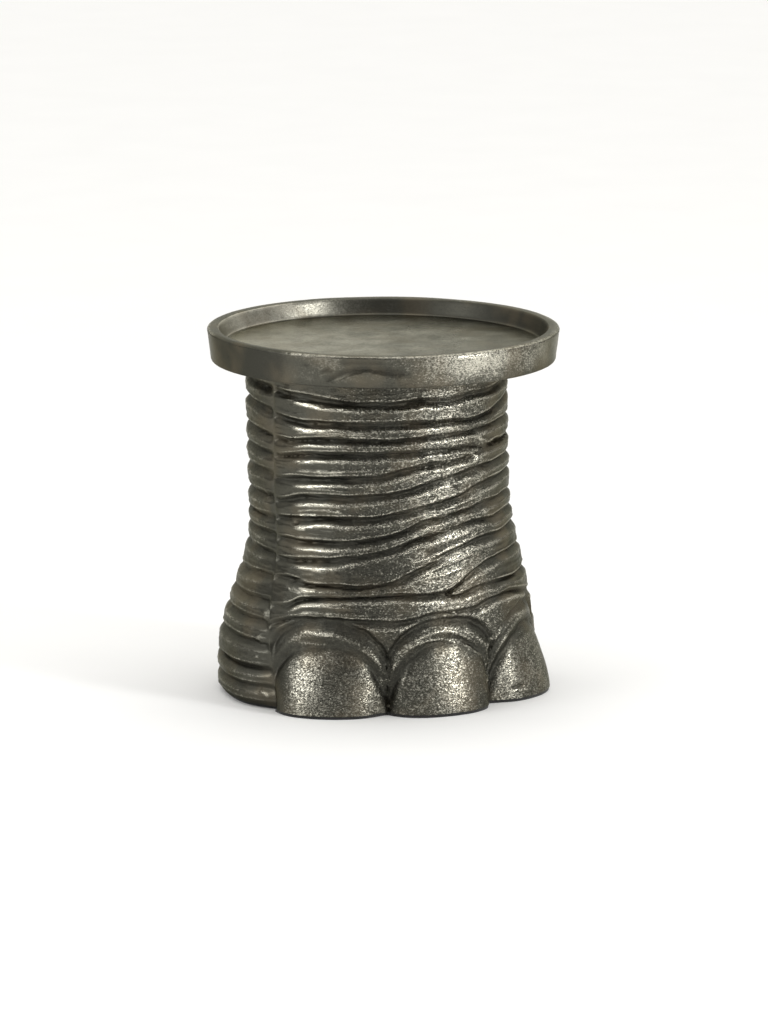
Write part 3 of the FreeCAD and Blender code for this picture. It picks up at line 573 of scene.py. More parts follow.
def arch(angle, foot, top):
    """Height of an arch over the nearest toe."""
    off = np.min([np.abs(angle - middle) for middle in TOE_MIDDLES], axis=0)
    side = np.minimum(off / TOE_HALF_WIDTH, 1)
    return foot + (top - foot) * (1 - side ** 2.4) ** 0.6


def off_arch(angle, height, top, foot, peak):
    """Distance of places from an arch, square to its line and not straight up."""
    slope = (arch(angle + 0.4, foot, peak) - arch(angle - 0.4, foot, peak)) / 0.9
    return (height - top) / np.hypot(1, slope)


def toe_tops(angle):
    """Heights of the nail's and the cuticle's arches, a little uneven, with a lower left nail."""
    nail_top = arch(angle, 0, TOE_HEIGHT) - 1.6 * bell(angle - TOE_MIDDLES[0], 20)
    nail_top = nail_top + 0.5 * wander(angle, angle, 9, 9, 13)
    cuticle_top = arch(angle, WEB_HEIGHT, CUTICLE_HEIGHT) + 0.7 * wander(angle, angle, 7, 7, 14)
    return nail_top, cuticle_top


def front_radius(angle, height):
    """Smooth radius of the front casting, with its toes."""
    outline = TOE_REACH / 100 * smooth_line(FOOT_OUTLINE.items(), np.abs(angle))
    toe_rise = np.minimum(height / TOE_HEIGHT, 1)
    reach = (outline - plan_radius(angle, PAD_TOP)) * (1 - toe_rise ** TOE_CURVE)
    return plan_radius(angle, height) + reach


print("arch over a toe's middle and edge:", arch(np.array([0.0, 25.0]), WEB_HEIGHT, CUTICLE_HEIGHT))

# %% Draw the faint lines that all the skin has
DRAWN_RELIEF, LUMPY_RELIEF = 0.13, 0.1


def cast_noise(across, height, line_height, seed):
    """Faint drawn lines, and the relief of those together with small lumps."""
    drawn = wander(across, height, 11, line_height, seed)
    drawn = drawn + 0.6 * wander(across, height, 6, line_height - 0.4, seed + 1)
    return drawn, DRAWN_RELIEF * drawn + LUMPY_RELIEF * wander(across, height, 3.5, 2.5, seed + 2)


print("a drawn line's relief:", DRAWN_RELIEF, "mm")

# %% [markdown]
# ## The front skin
# Toes, folds, strokes and smooth noise add up to the relief. Wear follows the form and the hand that
# rubbed it: most in the middle and on the nails, less towards both joints. Painted highlights on the
# crests, lips, nails and middle are laid over it, and painted shade where the leg faces the camera,
# under the tray and between the toes. The cast grain is coarse in the middle and fine at the sides.

# %% Shape the front skin
NAIL_SWELL, NAIL_GRAIN = 1.1, 0.72
TOE_RECESS, CREASE_WIDTH = 1.5, 1.5
FRONT_FOLD_DEPTH = 2.3
DEPTH_WANDER = 0.3
BAND_RELIEF, BAND_WIDTH = 0.5, 1.8
DRAWN_SHADE = 0.12
# Patches where the folds nearly run out: angle, height, and how far each reaches sideways and up
SHALLOW_PATCHES = [(15, 58, 11, 6), (26, 110, 8, 4)]
SHALLOW_LOSS = 0.55
# Bands of painted highlight across the nails where the softboxes reflect, and of painted shade where the
# share is negative: angle, width and share
NAIL_PAINTED_LIGHT_BANDS = [
    (-55, 8, 0.38), (-32, 6, 0.55), (-14, 6, 0.08), (1.5, 5, 0.3), (14, 5, -0.2), (31, 5, 0.35),
    (50, 12, 0.12),
]
NAIL_POLISH = 0.3
MIDDLE_PAINTED_HIGHLIGHT, LIP_WEAR_AND_HIGHLIGHT = 0.52, 0.7


def front_grain(angle, height, above, on_nail):
    """How coarse the cast grain is: fine near the joints and coarse on the toes."""
    to_middle = ease((angle + 58) / 30)
    right_flank = ease((angle - 22) / 14) * ease((height - 30) / 20)
    grain = (0.2 + 0.8 * to_middle) * (1 - 0.75 * right_flank)
    return np.where(on_nail, NAIL_GRAIN, np.maximum(grain, 0.6 * (1 - above)))


def front_wear_and_painted_light(angle, height, above, parts, lip):
    """How bare the front is, from the shares of its parts and of its lips: wear with painted highlights,
    a painted highlight over the middle, and painted shade where the leg faces the camera.
    """
    right_flank = ease((angle - 20) / 18) * ease((height - 35) / 20)
    wear_and_painted_light = np.maximum.reduce(parts) * (1 - 0.5 * right_flank)
    # Painted highlight over the middle, where the right softbox reflects
    wear_and_painted_light = np.maximum(wear_and_painted_light, MIDDLE_PAINTED_HIGHLIGHT * above * bell(angle - 5, 22))
    # Less bare near the left joint, and painted shade where the leg faces the camera
    wear_and_painted_light = wear_and_painted_light * ease((angle + 70) / 8) * (1 - 0.3 * bell(angle + 29, 13))
    # The lips' thin light lines: wear on the ridge with a painted highlight
    return np.maximum(wear_and_painted_light, LIP_WEAR_AND_HIGHLIGHT * lip * above)


def front_skin(angle, height):
    """Relief of the front casting, its darkening from patina and painted shade, its bare share from wear
    and painted light, and its grain.
    """
    nail_top, cuticle_top = toe_tops(angle)
    nail = np.clip(height / np.maximum(nail_top, 0.1), 0, 1)
    swell = np.where(height < nail_top, NAIL_SWELL * (1 - nail ** 3), 0)
    above = ease((height - cuticle_top) / 3.4)
    fading = 0.8 + 0.35 * wander(angle, height, 8, 8, 15)
    nail_line = fading * bell(off_arch(angle, height, nail_top, 0, TOE_HEIGHT), CREASE_WIDTH)
    off_cuticle = off_arch(angle, height, cuticle_top, WEB_HEIGHT, CUTICLE_HEIGHT)
    cuticle_line = fading * bell(off_cuticle, CREASE_WIDTH)
    band = bell(height - (nail_top + cuticle_top) / 2, BAND_WIDTH)
    shallow = sum(bell(np.hypot((angle - place) / wide, (height - level) / high), 1)
                  for place, level, wide, high in SHALLOW_PATCHES)
    depth = FRONT_FOLD_DEPTH * (1 + DEPTH_WANDER * wander(angle, height, 17, 8, 2))
    depth = depth * (1 - SHALLOW_LOSS * np.minimum(shallow, 1))
    creases = [LEG_TOP / 100 * smooth_line(points.items(), angle) for points in FRONT_CREASES]
    dip, patina_and_painted_shade, crest, lip = folds(height + 0.5 * wander(angle, height, 13, 7, 1), creases, depth)
    pressed, grooved, raised = press(FRONT_STROKES, angle, height, 1)
    drawn, uneven = cast_noise(angle, height, 1.1, 3)
    relief = (swell - above * dip - (1 - above) * TOE_RECESS * ease(height / WEB_HEIGHT)
              - CREASE_DEPTH * (nail_line + cuticle_line) + BAND_RELIEF * band + pressed
              + uneven * (0.25 + 0.75 * above))
    # Painted shadow of the tray on the top of the leg
    painted_tray_shadow = 0.3 * ease((height - 133) / 4) * ease((angle + 35) / 20)
    beside_band = (1 - above) * ease((height - nail_top) / 3) * (1 - band)
    # Painted shade in the valleys between the toes, low down
    painted_toe_valley_shade = bell(np.abs(angle) - TOE_HALF_WIDTH, 3.2) * ease((WEB_HEIGHT + 4 - height) / 8)
    patina_and_painted_shade = np.maximum.reduce([painted_tray_shadow + above * patina_and_painted_shade, 0.8 * nail_line, 0.85 * cuticle_line,
                               0.7 * grooved, 0.55 * beside_band, 0.5 * painted_toe_valley_shade])
    # Nails: wear, with painted highlight and painted shade in bands
    nail_wear_and_highlight = NAIL_POLISH + sum(share * bell(angle - place, wide) for place, wide, share in NAIL_PAINTED_LIGHT_BANDS)
    parts = [above * crest, raised, 0.5 * band * (1 - above), nail_wear_and_highlight * (swell > 0) * ease((1 - nail) * 5)]
    wear_and_painted_light = front_wear_and_painted_light(angle, height, above, parts, lip)
    return relief, patina_and_painted_shade - DRAWN_SHADE * drawn, wear_and_painted_light, front_grain(angle, height, above, swell > 0)


probe = np.array([0.0, 0.0]), np.array([10.0, 100.0])
print("radius at the middle toe and above it:", np.round(front_radius(*probe), 1))
print("relief there:", np.round(front_skin(*probe)[0], 2))

# %% [markdown]
# ## The heel
# The photograph shows only the left edge of the rear casting, where fifteen deep creases notch its
# outline. They run on round the heel, with the small waves and joins that such skin has.

# %% Shape the rear skin
REAR_CREASES = [
    (93, 93.8, 93.6), (86.2, 88, 89.4), (78.7, 80.4, 82.4), (74.1, 74.2, 76.3),
    (67.9, 68, 71.1), (61, 61.1, 66.1), (55.1, 54.7, 60), (50.2, 50.5, 55.2),
    (44, 45, 50.1), (38.1, 37.4, 44), (31.2, 31.2, 36.7), (25, 25.6, 28.6),
    (18.7, 19.3, 20.8), (11.4, 11.8, 12.5), (6.2, 6.2, 6.2),
]
TOE_EDGE = 75
FLANK_SHARE = 0.2
HEEL_RUN = 210
WAVE_PERCENT = 0.7
REAR_SHADE = 0.12
REAR_STROKES = [
    # Lumps of metal left beside the ground joint
    (0.9, 1.5, [(-50.8, 41.5), (-50, 39), (-50.6, 37)]),
    (0.9, 1.7, [(-53, 30.5), (-51, 29), (-50.4, 27.4)]),
    (0.8, 0.9, [(-51.8, 22.6), (-51.4, 21.4)]),
    (0.5, 1.3, [(-50, 8), (-47.5, 6.4), (-46.5, 5)]),
    (0.5, 0.9, [(-60.5, 91), (-59.4, 89), (-60, 86.6)]),
]


def rear_skin(angle, height):
    """Relief of the rear casting, its darkening from patina and painted shade, its bare share from wear
    and painted light, and its grain.
    """
    turned = np.where(angle >= 0, angle, angle + 360)
    share = np.clip((360 - TOE_EDGE - turned) / (360 - 2 * TOE_EDGE), 0, 1)
    across = share * HEEL_RUN
    to_back = np.sin(np.pi * share)
    creases = []
    for number, (left, flank, right) in enumerate(REAR_CREASES):
        level = smooth_line([(0, left), (FLANK_SHARE, flank), (1, right)], share)
        wave = WAVE_PERCENT * to_back * np.sin(9 * share + 1.7 * number)
        creases.append(LEG_TOP / 100 * (level + wave))
    sideways = height + 0.8 * to_back * wander(across, height, 15, 6, 6)
    depth = REAR_FOLD_DEPTH * (1 + DEPTH_WANDER * wander(across, height, 16, 7, 7))
    dip, patina_and_painted_shade, crest, lip = folds(sideways, creases, depth, REAR_FOLD_SHOULDER, REAR_FOLD_UNDERCUT)
    drawn, uneven = cast_noise(across, height, 1.2, 8)
    pressed, grooved, raised = press(REAR_STROKES, angle, height, 1)
    patina_and_painted_shade = np.maximum(patina_and_painted_shade, grooved) + REAR_SHADE - DRAWN_SHADE * drawn
    # Painted highlights on the crests, wear with a painted highlight on the lips, and wear on raised lumps
    wear_and_painted_light = np.maximum.reduce([(0.35 + 0.5 * to_back) * crest, 0.6 * lip, raised])
    return pressed - dip + uneven, patina_and_painted_shade, wear_and_painted_light, 0.35 + 0.55 * ease(share * 3)


print("rear creases:", len(REAR_CREASES))

# %% [markdown]
# ## From a flat grid to a casting
# A plain grid, finely divided, is bent round the leg by moving its points, as a sculptor would push
# clay, because no extrusion or bevel gives such skin. The real castings were ground beside the joint,
# so the relief fades there, and both skins come down to one shallow seam. A coarser grid becomes the
# wall inside, with the lip that the tray sits on, and bridging the edges closes the casting.

# %% Turn grids into skins
FRONT, REAR = -1, 1
DRESSED_WIDTH, DRESSED_DEPTH, DRESSED_SHARE = 7, 0.5, 0.3
SEAM_WIDTH, SEAM_DEPTH = 1.2, 0.9
JOINT_GUESS, JOINT_ROUNDS = 80.0, 30
ON_JOINT = 1e-6


def points_of(piece):
    """A piece's points as rows of x, y and z."""
    flat = np.empty(len(piece.data.vertices) * 3)
    piece.data.vertices.foreach_get("co", flat)
    return flat.reshape(-1, 3)


def move_points(piece, points):
    """Moves a piece's points to rows of x, y and z."""
    piece.data.vertices.foreach_set("co", points.ravel())
    piece.data.update()


def grid(name, columns, rows):
    """A flat grid, with each point's share of the way across and up."""
    settle()
    bpy.ops.mesh.primitive_grid_add(x_subdivisions=columns, y_subdivisions=rows, size=1)
    piece = bpy.context.object
    piece.name = name
    points = points_of(piece)
    across = np.round((points[:, 0] + 0.5) * columns) / columns
    return piece, across, np.round((points[:, 1] + 0.5) * rows) / rows


def joint_angle(side, height, radius_at):
    """Angle from the toes at which a skin meets the joint, on one side."""
    angle = np.full_like(height, JOINT_GUESS)
    for _ in range(JOINT_ROUNDS):
        wanted = (leg_middle(height)[1] - joint_offset(height)) / radius_at(side * angle, height)
        angle += (np.degrees(np.arccos(wanted)) - angle) / 2
    return angle


def ends_of(casting, left, right):
    """Where a casting starts and ends, in degrees round from the toes, from its two joints' angles."""
    return (-left, right) if casting == FRONT else (right, 360 - left)


def angles_over(across, height, casting, radius_at):
    """Angles from one joint to the other, and each place's distance from the nearer joint in degrees."""
    levels, level_of = np.unique(height, return_inverse=True)
    left = joint_angle(-1, levels, radius_at)[level_of]
    right = joint_angle(1, levels, radius_at)[level_of]
    start, end = ends_of(casting, left, right)
    return start + (end - start) * across, np.minimum(across, 1 - across) * (end - start)


def signed(angle):
    """The same angles between -180 and 180 degrees."""
    return (angle + 180) % 360 - 180


def bend_to(piece, angle, height, radius, off_joint):
    """Moves a grid's points round the leg, and sets those of its two sides on the joint."""
    turn = np.radians(angle)
    middle_x, middle_y = leg_middle(height)
    x = middle_x + radius * np.sin(turn)
    y = np.where(off_joint < ON_JOINT, joint_offset(height), middle_y - radius * np.cos(turn))
    move_points(piece, np.stack([x, y, height], axis=1) * MM)


def paint(piece, name, values):
    """Stores a share from 0 to 1 at every point, for the materials to read."""
    layer = piece.data.attributes.new(name, "FLOAT", "POINT")
    layer.data.foreach_set("value", np.clip(values, 0, 1).astype(np.float32))


def outer_wall(name, size, casting, radius_at, skin_at):
    """The outside of one casting: folded skin, ground smooth beside the joints."""
    piece, across, up = grid(name, *size)
    height = PAD_TOP + (LEG_TOP - PAD_TOP) * up
    angle, off_joint = angles_over(across, height, casting, radius_at)
    relief, patina_and_painted_shade, wear_and_painted_light, grain = skin_at(signed(angle), height)
    ground = bell(off_joint, DRESSED_WIDTH)
    seam = bell(off_joint, SEAM_WIDTH)
    relief = relief * (1 - DRESSED_SHARE * ground) - DRESSED_DEPTH * ground
    relief = relief * (1 - seam) - SEAM_DEPTH * seam
    bend_to(piece, angle, height, radius_at(signed(angle), height) + relief, off_joint)
    paint(piece, "patina_and_painted_shade", np.maximum(patina_and_painted_shade * (1 - 0.2 * ground), 0.25 * ground))
    paint(piece, "wear_and_painted_light", np.maximum(wear_and_painted_light * (1 - 0.6 * ground), 0.3 * seam))
    paint(piece, "grain", grain * (1 - 0.7 * ground))
    return piece


print("the joint is ground smooth for", DRESSED_WIDTH, "degrees")

# %% Add the wall inside
CAVITY_BLEND = 40
LIP_ROWS = 4


def cavity_radius(angle, height):
    """Radius of the hollow: it follows the plan, a wall's thickness further in."""
    over_toes = ease((TOE_EDGE + CAVITY_BLEND / 2 - np.abs(angle)) / CAVITY_BLEND)
    low = fade(height, HEEL_STRAIGHT, INSTEP_BLEND)
    inset = WALL + FOLD_DEPTH + CREASE_DEPTH + (INSTEP_FLARE + CREASE_DEPTH) * over_toes * low
    return plan_radius(angle, height) - inset


def inner_wall(name, size, casting):
    """The inside of one casting: a plain wall, then a lip turned in at the top."""
    piece, across, up = grid(name, *size)
    row = up * size[1]
    wall_rows = size[1] - LIP_ROWS
    height = np.minimum(PAD_TOP + (LIP_UNDER - PAD_TOP) * row / wall_rows, LIP_UNDER)
    height = np.where(row >= size[1] - 0.5, LEG_TOP, height)
    angle, off_joint = angles_over(across, height, casting, cavity_radius)
    bend_to(piece, angle, height, cavity_radius(signed(angle), height), off_joint)
    half_turn = math.degrees(math.acos(-joint_offset(LEG_TOP) / LIP_BORE))
    start, end = ends_of(casting, half_turn, half_turn)
    turn = np.radians(start + (end - start) * across)
    bore = np.stack([LIP_BORE * np.sin(turn), -LIP_BORE * np.cos(turn)], axis=1)
    points = points_of(piece)
    inward = np.clip((row - wall_rows) / (LIP_ROWS - 1), 0, 1)[:, None]
    points[:, :2] += (bore * MM - points[:, :2]) * inward
    move_points(piece, points)
    for layer in ("patina_and_painted_shade", "wear_and_painted_light", "grain"):
        paint(piece, layer, np.full(len(across), 0.5))
    return piece


print("the hollow's radius at half height:", round(float(cavity_radius(0, LEG_TOP / 2)), 1), "mm")

# %% Close the castings
FRONT_GRID, FRONT_INSIDE_GRID = (252, 344), (40, 36)
REAR_GRID, REAR_INSIDE_GRID = (256, 300), (44, 36)
CAST_EDGE_ANGLE = 55


def face_outward():
    """Turns all normals of the mesh in edit mode outward, and ends edit mode."""
    bpy.ops.mesh.select_all(action="SELECT")
    bpy.ops.mesh.normals_make_consistent(inside=False)
    bpy.ops.object.mode_set(mode="OBJECT")


def pick(*pieces):
    """Selects pieces and nothing else, and makes the first one active."""
    settle()
    for piece in pieces:
        piece.select_set(True)
    bpy.context.view_layer.objects.active = pieces[0]


def close_casting(outer, inner):
    """Joins the two walls along their edges into one closed casting."""
    pick(outer, inner)
    bpy.ops.object.join()
    bpy.ops.object.mode_set(mode="EDIT")
    bpy.ops.mesh.select_mode(type="EDGE")
    bpy.ops.mesh.select_all(action="DESELECT")
    bpy.ops.mesh.select_non_manifold(extend=False, use_wire=False, use_boundary=True, use_multi_face=False,
                                     use_non_contiguous=False, use_verts=False)
    bpy.ops.mesh.bridge_edge_loops()
    face_outward()
    bpy.ops.object.shade_smooth_by_angle(angle=math.radians(CAST_EDGE_ANGLE))
    return outer


def loose_edges(piece):
    """How many edges of a piece don't join exactly two faces."""
    uses = np.zeros(len(piece.data.edges), int)
    corners = np.empty(len(piece.data.loops), int)
    piece.data.loops.foreach_get("edge_index", corners)
    np.add.at(uses, corners, 1)
    return int((uses != 2).sum())


foot_front = close_casting(outer_wall("foot_front_skin", FRONT_GRID, FRONT, front_radius, front_skin),
                           inner_wall("foot_front_inside", FRONT_INSIDE_GRID, FRONT))
foot_rear = close_casting(outer_wall("foot_rear_skin", REAR_GRID, REAR, plan_radius, rear_skin),
                          inner_wall("foot_rear_inside", REAR_INSIDE_GRID, REAR))
for casting, node in ((foot_front, "foot_front_shell"), (foot_rear, "foot_rear_shell")):
    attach(casting, "root")
    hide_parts(node)
    print(casting.name, len(casting.data.polygons), "faces, open edges:", loose_edges(casting))

# %% [markdown]
# ## The tray
# The tray was cast too, but its dish and rim were cut on a lathe, so it is a spin: a profile drawn as
# one run of points and turned round the axis. The rims are then bevelled, and the few faults of the
# casting are pressed in as strokes.

# %% Spin the tray
TRAY_RADIUS = 74.85
TRAY_TOP = 156.3
TRAY_FOOT = 142.7
TRAY_TAPER = 1.7
RIM_WIDTH = 4.9
DISH_FLOOR = 149.3
DISH_FLOOR_RADIUS = 67.3
SKIRT_INSIDE = 68.3
SPIGOT_OUTSIDE, SPIGOT_INSIDE, SPIGOT_FOOT = 35.5, 31.5, 141.3
BOSS_RADIUS, BOSS_FOOT = 11, 139.3
BOLT_HOLE_RADIUS, BOLT_HOLE_TOP = 4, 146.8
TRAY_TURNS = 360
TURNED_EDGE_ANGLE = 40
SAME_PLACE = 0.01


def run(start, end, steps):
    """Points along a straight run, without its last one."""
    return [tuple(point) for point in np.linspace(start, end, steps, endpoint=False)]


dish_edge = (DISH_FLOOR_RADIUS, DISH_FLOOR)
inner_rim = (TRAY_RADIUS - RIM_WIDTH, TRAY_TOP)
outer_rim = (TRAY_RADIUS, TRAY_TOP)
skirt_foot = (TRAY_RADIUS - TRAY_TAPER, TRAY_FOOT)
skirt_inside = (SKIRT_INSIDE, TRAY_FOOT)
tray_outline = (
    run((0, DISH_FLOOR), dish_edge, 24) + run(dish_edge, inner_rim, 5) + run(inner_rim, outer_rim, 3)
    + run(outer_rim, skirt_foot, 14) + run(skirt_foot, skirt_inside, 3)
    + [skirt_inside, (SKIRT_INSIDE, LEG_TOP),
       (SPIGOT_OUTSIDE, LEG_TOP), (SPIGOT_OUTSIDE, SPIGOT_FOOT), (SPIGOT_INSIDE, SPIGOT_FOOT),
       (SPIGOT_INSIDE, LEG_TOP), (BOSS_RADIUS, LEG_TOP), (BOSS_RADIUS, BOSS_FOOT),
       (BOLT_HOLE_RADIUS, BOSS_FOOT), (BOLT_HOLE_RADIUS, BOLT_HOLE_TOP), (0, BOLT_HOLE_TOP)]
)
ROUNDINGS = [([dish_edge], 0.9, 4), ([outer_rim], 1.4, 6), ([inner_rim], 0.7, 4),
             ([skirt_foot, skirt_inside], 0.6, 3)]


def spin(name, outline, turns):
    """Turns a run of (radius, height) round the upright axis into a closed piece."""
    settle()
    bpy.ops.mesh.primitive_plane_add(size=MM)
    piece = bpy.context.object
    piece.name = name
    bpy.ops.object.mode_set(mode="EDIT")
    bpy.ops.mesh.select_mode(type="VERT")
    bpy.ops.mesh.merge(type="CENTER")
    bpy.ops.transform.translate(value=(outline[0][0] * MM, 0, outline[0][1] * MM))
    for here, there in zip(outline, outline[1:]):
        step = ((there[0] - here[0]) * MM, 0, (there[1] - here[1]) * MM)
        bpy.ops.mesh.extrude_region_move(TRANSFORM_OT_translate={"value": step})
    bpy.ops.mesh.select_all(action="SELECT")
    bpy.ops.mesh.spin(steps=turns, angle=math.tau, center=(0, 0, 0), axis=(0, 0, 1))
    bpy.ops.mesh.select_all(action="SELECT")
    bpy.ops.mesh.remove_doubles(threshold=SAME_PLACE * MM)
    face_outward()
    return piece


def round_rings(piece, places, width, segments):
    """Bevels the ring edges of a turned piece at places of (radius, height), in millimetres."""
    pick(piece)
    mesh = piece.data
    bpy.ops.object.mode_set(mode="EDIT")
    bpy.ops.mesh.select_mode(type="EDGE")
    bpy.ops.mesh.select_all(action="DESELECT")
    bpy.ops.object.mode_set(mode="OBJECT")
    points = points_of(piece) / MM
    radius, height = np.hypot(points[:, 0], points[:, 1]), points[:, 2]
    ends = np.empty(len(mesh.edges) * 2, int)
    mesh.edges.foreach_get("vertices", ends)
    chosen = np.zeros(len(mesh.edges), bool)
    for ring_radius, ring_height in places:
        there = (np.abs(radius - ring_radius) < SAME_PLACE) & (np.abs(height - ring_height) < SAME_PLACE)
        chosen |= there[ends.reshape(-1, 2)].all(axis=1)
    mesh.edges.foreach_set("select", chosen)
    bpy.ops.object.mode_set(mode="EDIT")
    bpy.ops.mesh.bevel(offset=width * MM, segments=segments, affect="EDGES")
    bpy.ops.object.mode_set(mode="OBJECT")
    print(piece.name, "bevelled edges:", int(chosen.sum()))


tray = spin("tray_turned", tray_outline, TRAY_TURNS)
for rings, width, segments in ROUNDINGS:
    round_rings(tray, rings, width, segments)
print("tray faces:", len(tray.data.polygons))

# %% Press the tray's casting faults
TRAY_PER_DEGREE = 1.3
SKIRT_FROM = 71.5
TRAY_STROKES = [
    # A wavy line of metal where the mould slipped, with a rough hollow above it
    (0.35, 0.6, [(-16.5, 144.8), (-13.5, 146), (-10.5, 148), (-7, 149.2), (-3.5, 149.3), (0, 148.6)]),
    (-0.9, 1.3, [(-20, 145.6), (-16, 147.2), (-12, 149.6), (-7, 151), (-2, 150.8), (5, 149.4), (9, 148.8)]),
    (-0.4, 0.6, [(-19, 151), (-17.6, 150.2)]),
    (-0.35, 0.6, [(-27, 152), (-25.5, 151.2), (-24.6, 151.6)]),
    (0.25, 0.9, [(-27, 149), (-24, 147.6), (-22, 145.6)]),
    (-0.3, 0.8, [(-14, 154.6), (-13, 153.8)]),
    (-0.3, 1.2, [(-14, 153.2), (-7, 153.6), (1, 153.4)]),
    (-0.4, 0.5, [(-21, 148.6), (-18.6, 149.6), (-16, 149.4)]),
    (-0.3, 0.6, [(20, 152.4), (21, 151.6)]),
]
points = points_of(tray) / MM
x, y, height = points.T
radius = np.hypot(x, y)
angle = np.degrees(np.arctan2(x, -y))
pressed, grooved, raised = press(TRAY_STROKES, angle, height, TRAY_PER_DEGREE)
skirt = ease((radius - SKIRT_FROM) / 0.8) * (height > TRAY_FOOT - 0.1)
uneven = 0.06 * wander(angle, height, 9, 5, 11) - 0.05
leaning = 0.07 * np.maximum(height - TRAY_TOP + 3.2, 0) ** 2 * bell(angle - 8, 17)
moved = np.minimum(skirt * (pressed + uneven - leaning), np.maximum(TRAY_RADIUS - radius, 0))
points[:, :2] *= (1 + moved / np.maximum(radius, 1))[:, None]
top_ring = ease((height - (TRAY_TOP - 1.5)) / 1.5) * (radius > TRAY_RADIUS - RIM_WIDTH - 1.5)
height -= top_ring * (0.06 + 0.06 * wander(angle, radius, 14, 6, 12))
move_points(tray, points * MM)
print("deepest fault:", round(float(-pressed.min()), 2), "mm")

# %% [markdown]
# ## Wear and painted light on the tray
# The dish carries a painted reflection: its floor is lighter towards the camera's left and its wall more
# so, while the wall is painted darker, most to the right, and darker along the corner at its foot.
# Outside, the skirt has painted shade at the far left, a painted highlight in front under the rim, a
# weaker one to the right and a faint one on the left, and it darkens towards its foot. The outer edge of
# the rim is bright all round, from wear and a painted highlight.

# %% Wear the tray and paint light and shade on it
in_dish = (radius < TRAY_RADIUS - RIM_WIDTH + 0.3) * (height > DISH_FLOOR - 0.5)
to_right = (x * math.cos(CAMERA_BEARING) + y * math.sin(CAMERA_BEARING)) / 60
on_wall = radius > DISH_FLOOR_RADIUS
# Darker along the corner at the foot of the dish wall
dish_corner = bell(np.hypot(radius - DISH_FLOOR_RADIUS, height - DISH_FLOOR), 0.9)
lower_edge = skirt * ease((TRAY_FOOT + 4 - height) / 4)
# Painted shade on the skirt's far left
skirt_left_shade = skirt * ease((-58 - angle) / 6) * ease((angle + 107) / 14)
# Patina in the faults, darker down the skirt and in the dish corner, painted shade on skirt and dish wall
paint(tray, "patina_and_painted_shade", np.maximum.reduce([
    skirt * grooved, 0.7 * dish_corner, 0.35 * lower_edge, 0.9 * skirt_left_shade,
    in_dish * on_wall * (0.8 + 0.2 * to_right),
]))
# Painted reflection in the dish: lighter towards the camera's left, and on the wall more so
dish_painted_light = np.where(on_wall, 0.6 - 0.5 * to_right, 0.36 - 0.2 * to_right)
dish_painted_light = dish_painted_light + 0.06 * wander(x, y, 25, 18, 16)
# Painted highlights on the skirt: on the right, in front under the rim, and faintly on the left
skirt_right_highlight = skirt * ease((angle + 20) / 10) * ease((125 - angle) / 20)
skirt_front_highlight = skirt * bell(angle - 5, 16) * ease((height - 142) / 10)
skirt_left_highlight = skirt * bell(angle + 47, 12)
# The rim's outer edge: wear with a painted highlight
rim_wear_and_highlight = top_ring * bell(radius - TRAY_RADIUS, 1.2)
paint(tray, "wear_and_painted_light", np.maximum.reduce([
    0.25 * skirt * raised, 0.25 * skirt_right_highlight, 0.7 * skirt_front_highlight, 0.16 * skirt_left_highlight, 0.7 * rim_wear_and_highlight,
    in_dish * dish_painted_light,
]))
grainy = 0.2 + 0.28 * ease((angle + 32) / 16) * (1 - ease((angle - 28) / 12))
paint(tray, "grain", np.where(in_dish > 0, 0.12, np.where(height > TRAY_TOP - 0.5, 0.4, grainy)))
pick(tray)
bpy.ops.object.shade_smooth_by_angle(angle=math.radians(TURNED_EDGE_ANGLE))
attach(tray, "root")
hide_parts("tray")
print("tray open edges:", loose_edges(tray))

# %% [markdown]
# ## Blackened and rubbed metal
# The castings were blackened all over and rubbed back. So one share decides between black and metal:
# it is high on crests and nails, low in creases, and broken up by the sand's grain, because the wheel
# only reaches the tops of the grains. Fine dark cracks run between them. The same grain tilts the
# surface. Besides wear and patina, the two painted layers that set the share carry painted highlights,
# painted reflection and painted shade.

# %% Mix the antique casting metal
RUBBED = (0.56, 0.54, 0.455, 1)
DULL = (0.085, 0.083, 0.068, 1)
BLACKENED = (0.056, 0.055, 0.046, 1)
WARM = (0.17, 0.14, 0.095, 1)
SPECULAR_TINT = (0.55, 0.55, 0.5, 1)
GRAIN_STRETCH, CRACK_STRETCH = (0.8, 0.8, 1.2), (0.7, 0.7, 1.2)
GRAIN_HEIGHT, TURNED_HEIGHT = 0.24, 0.01


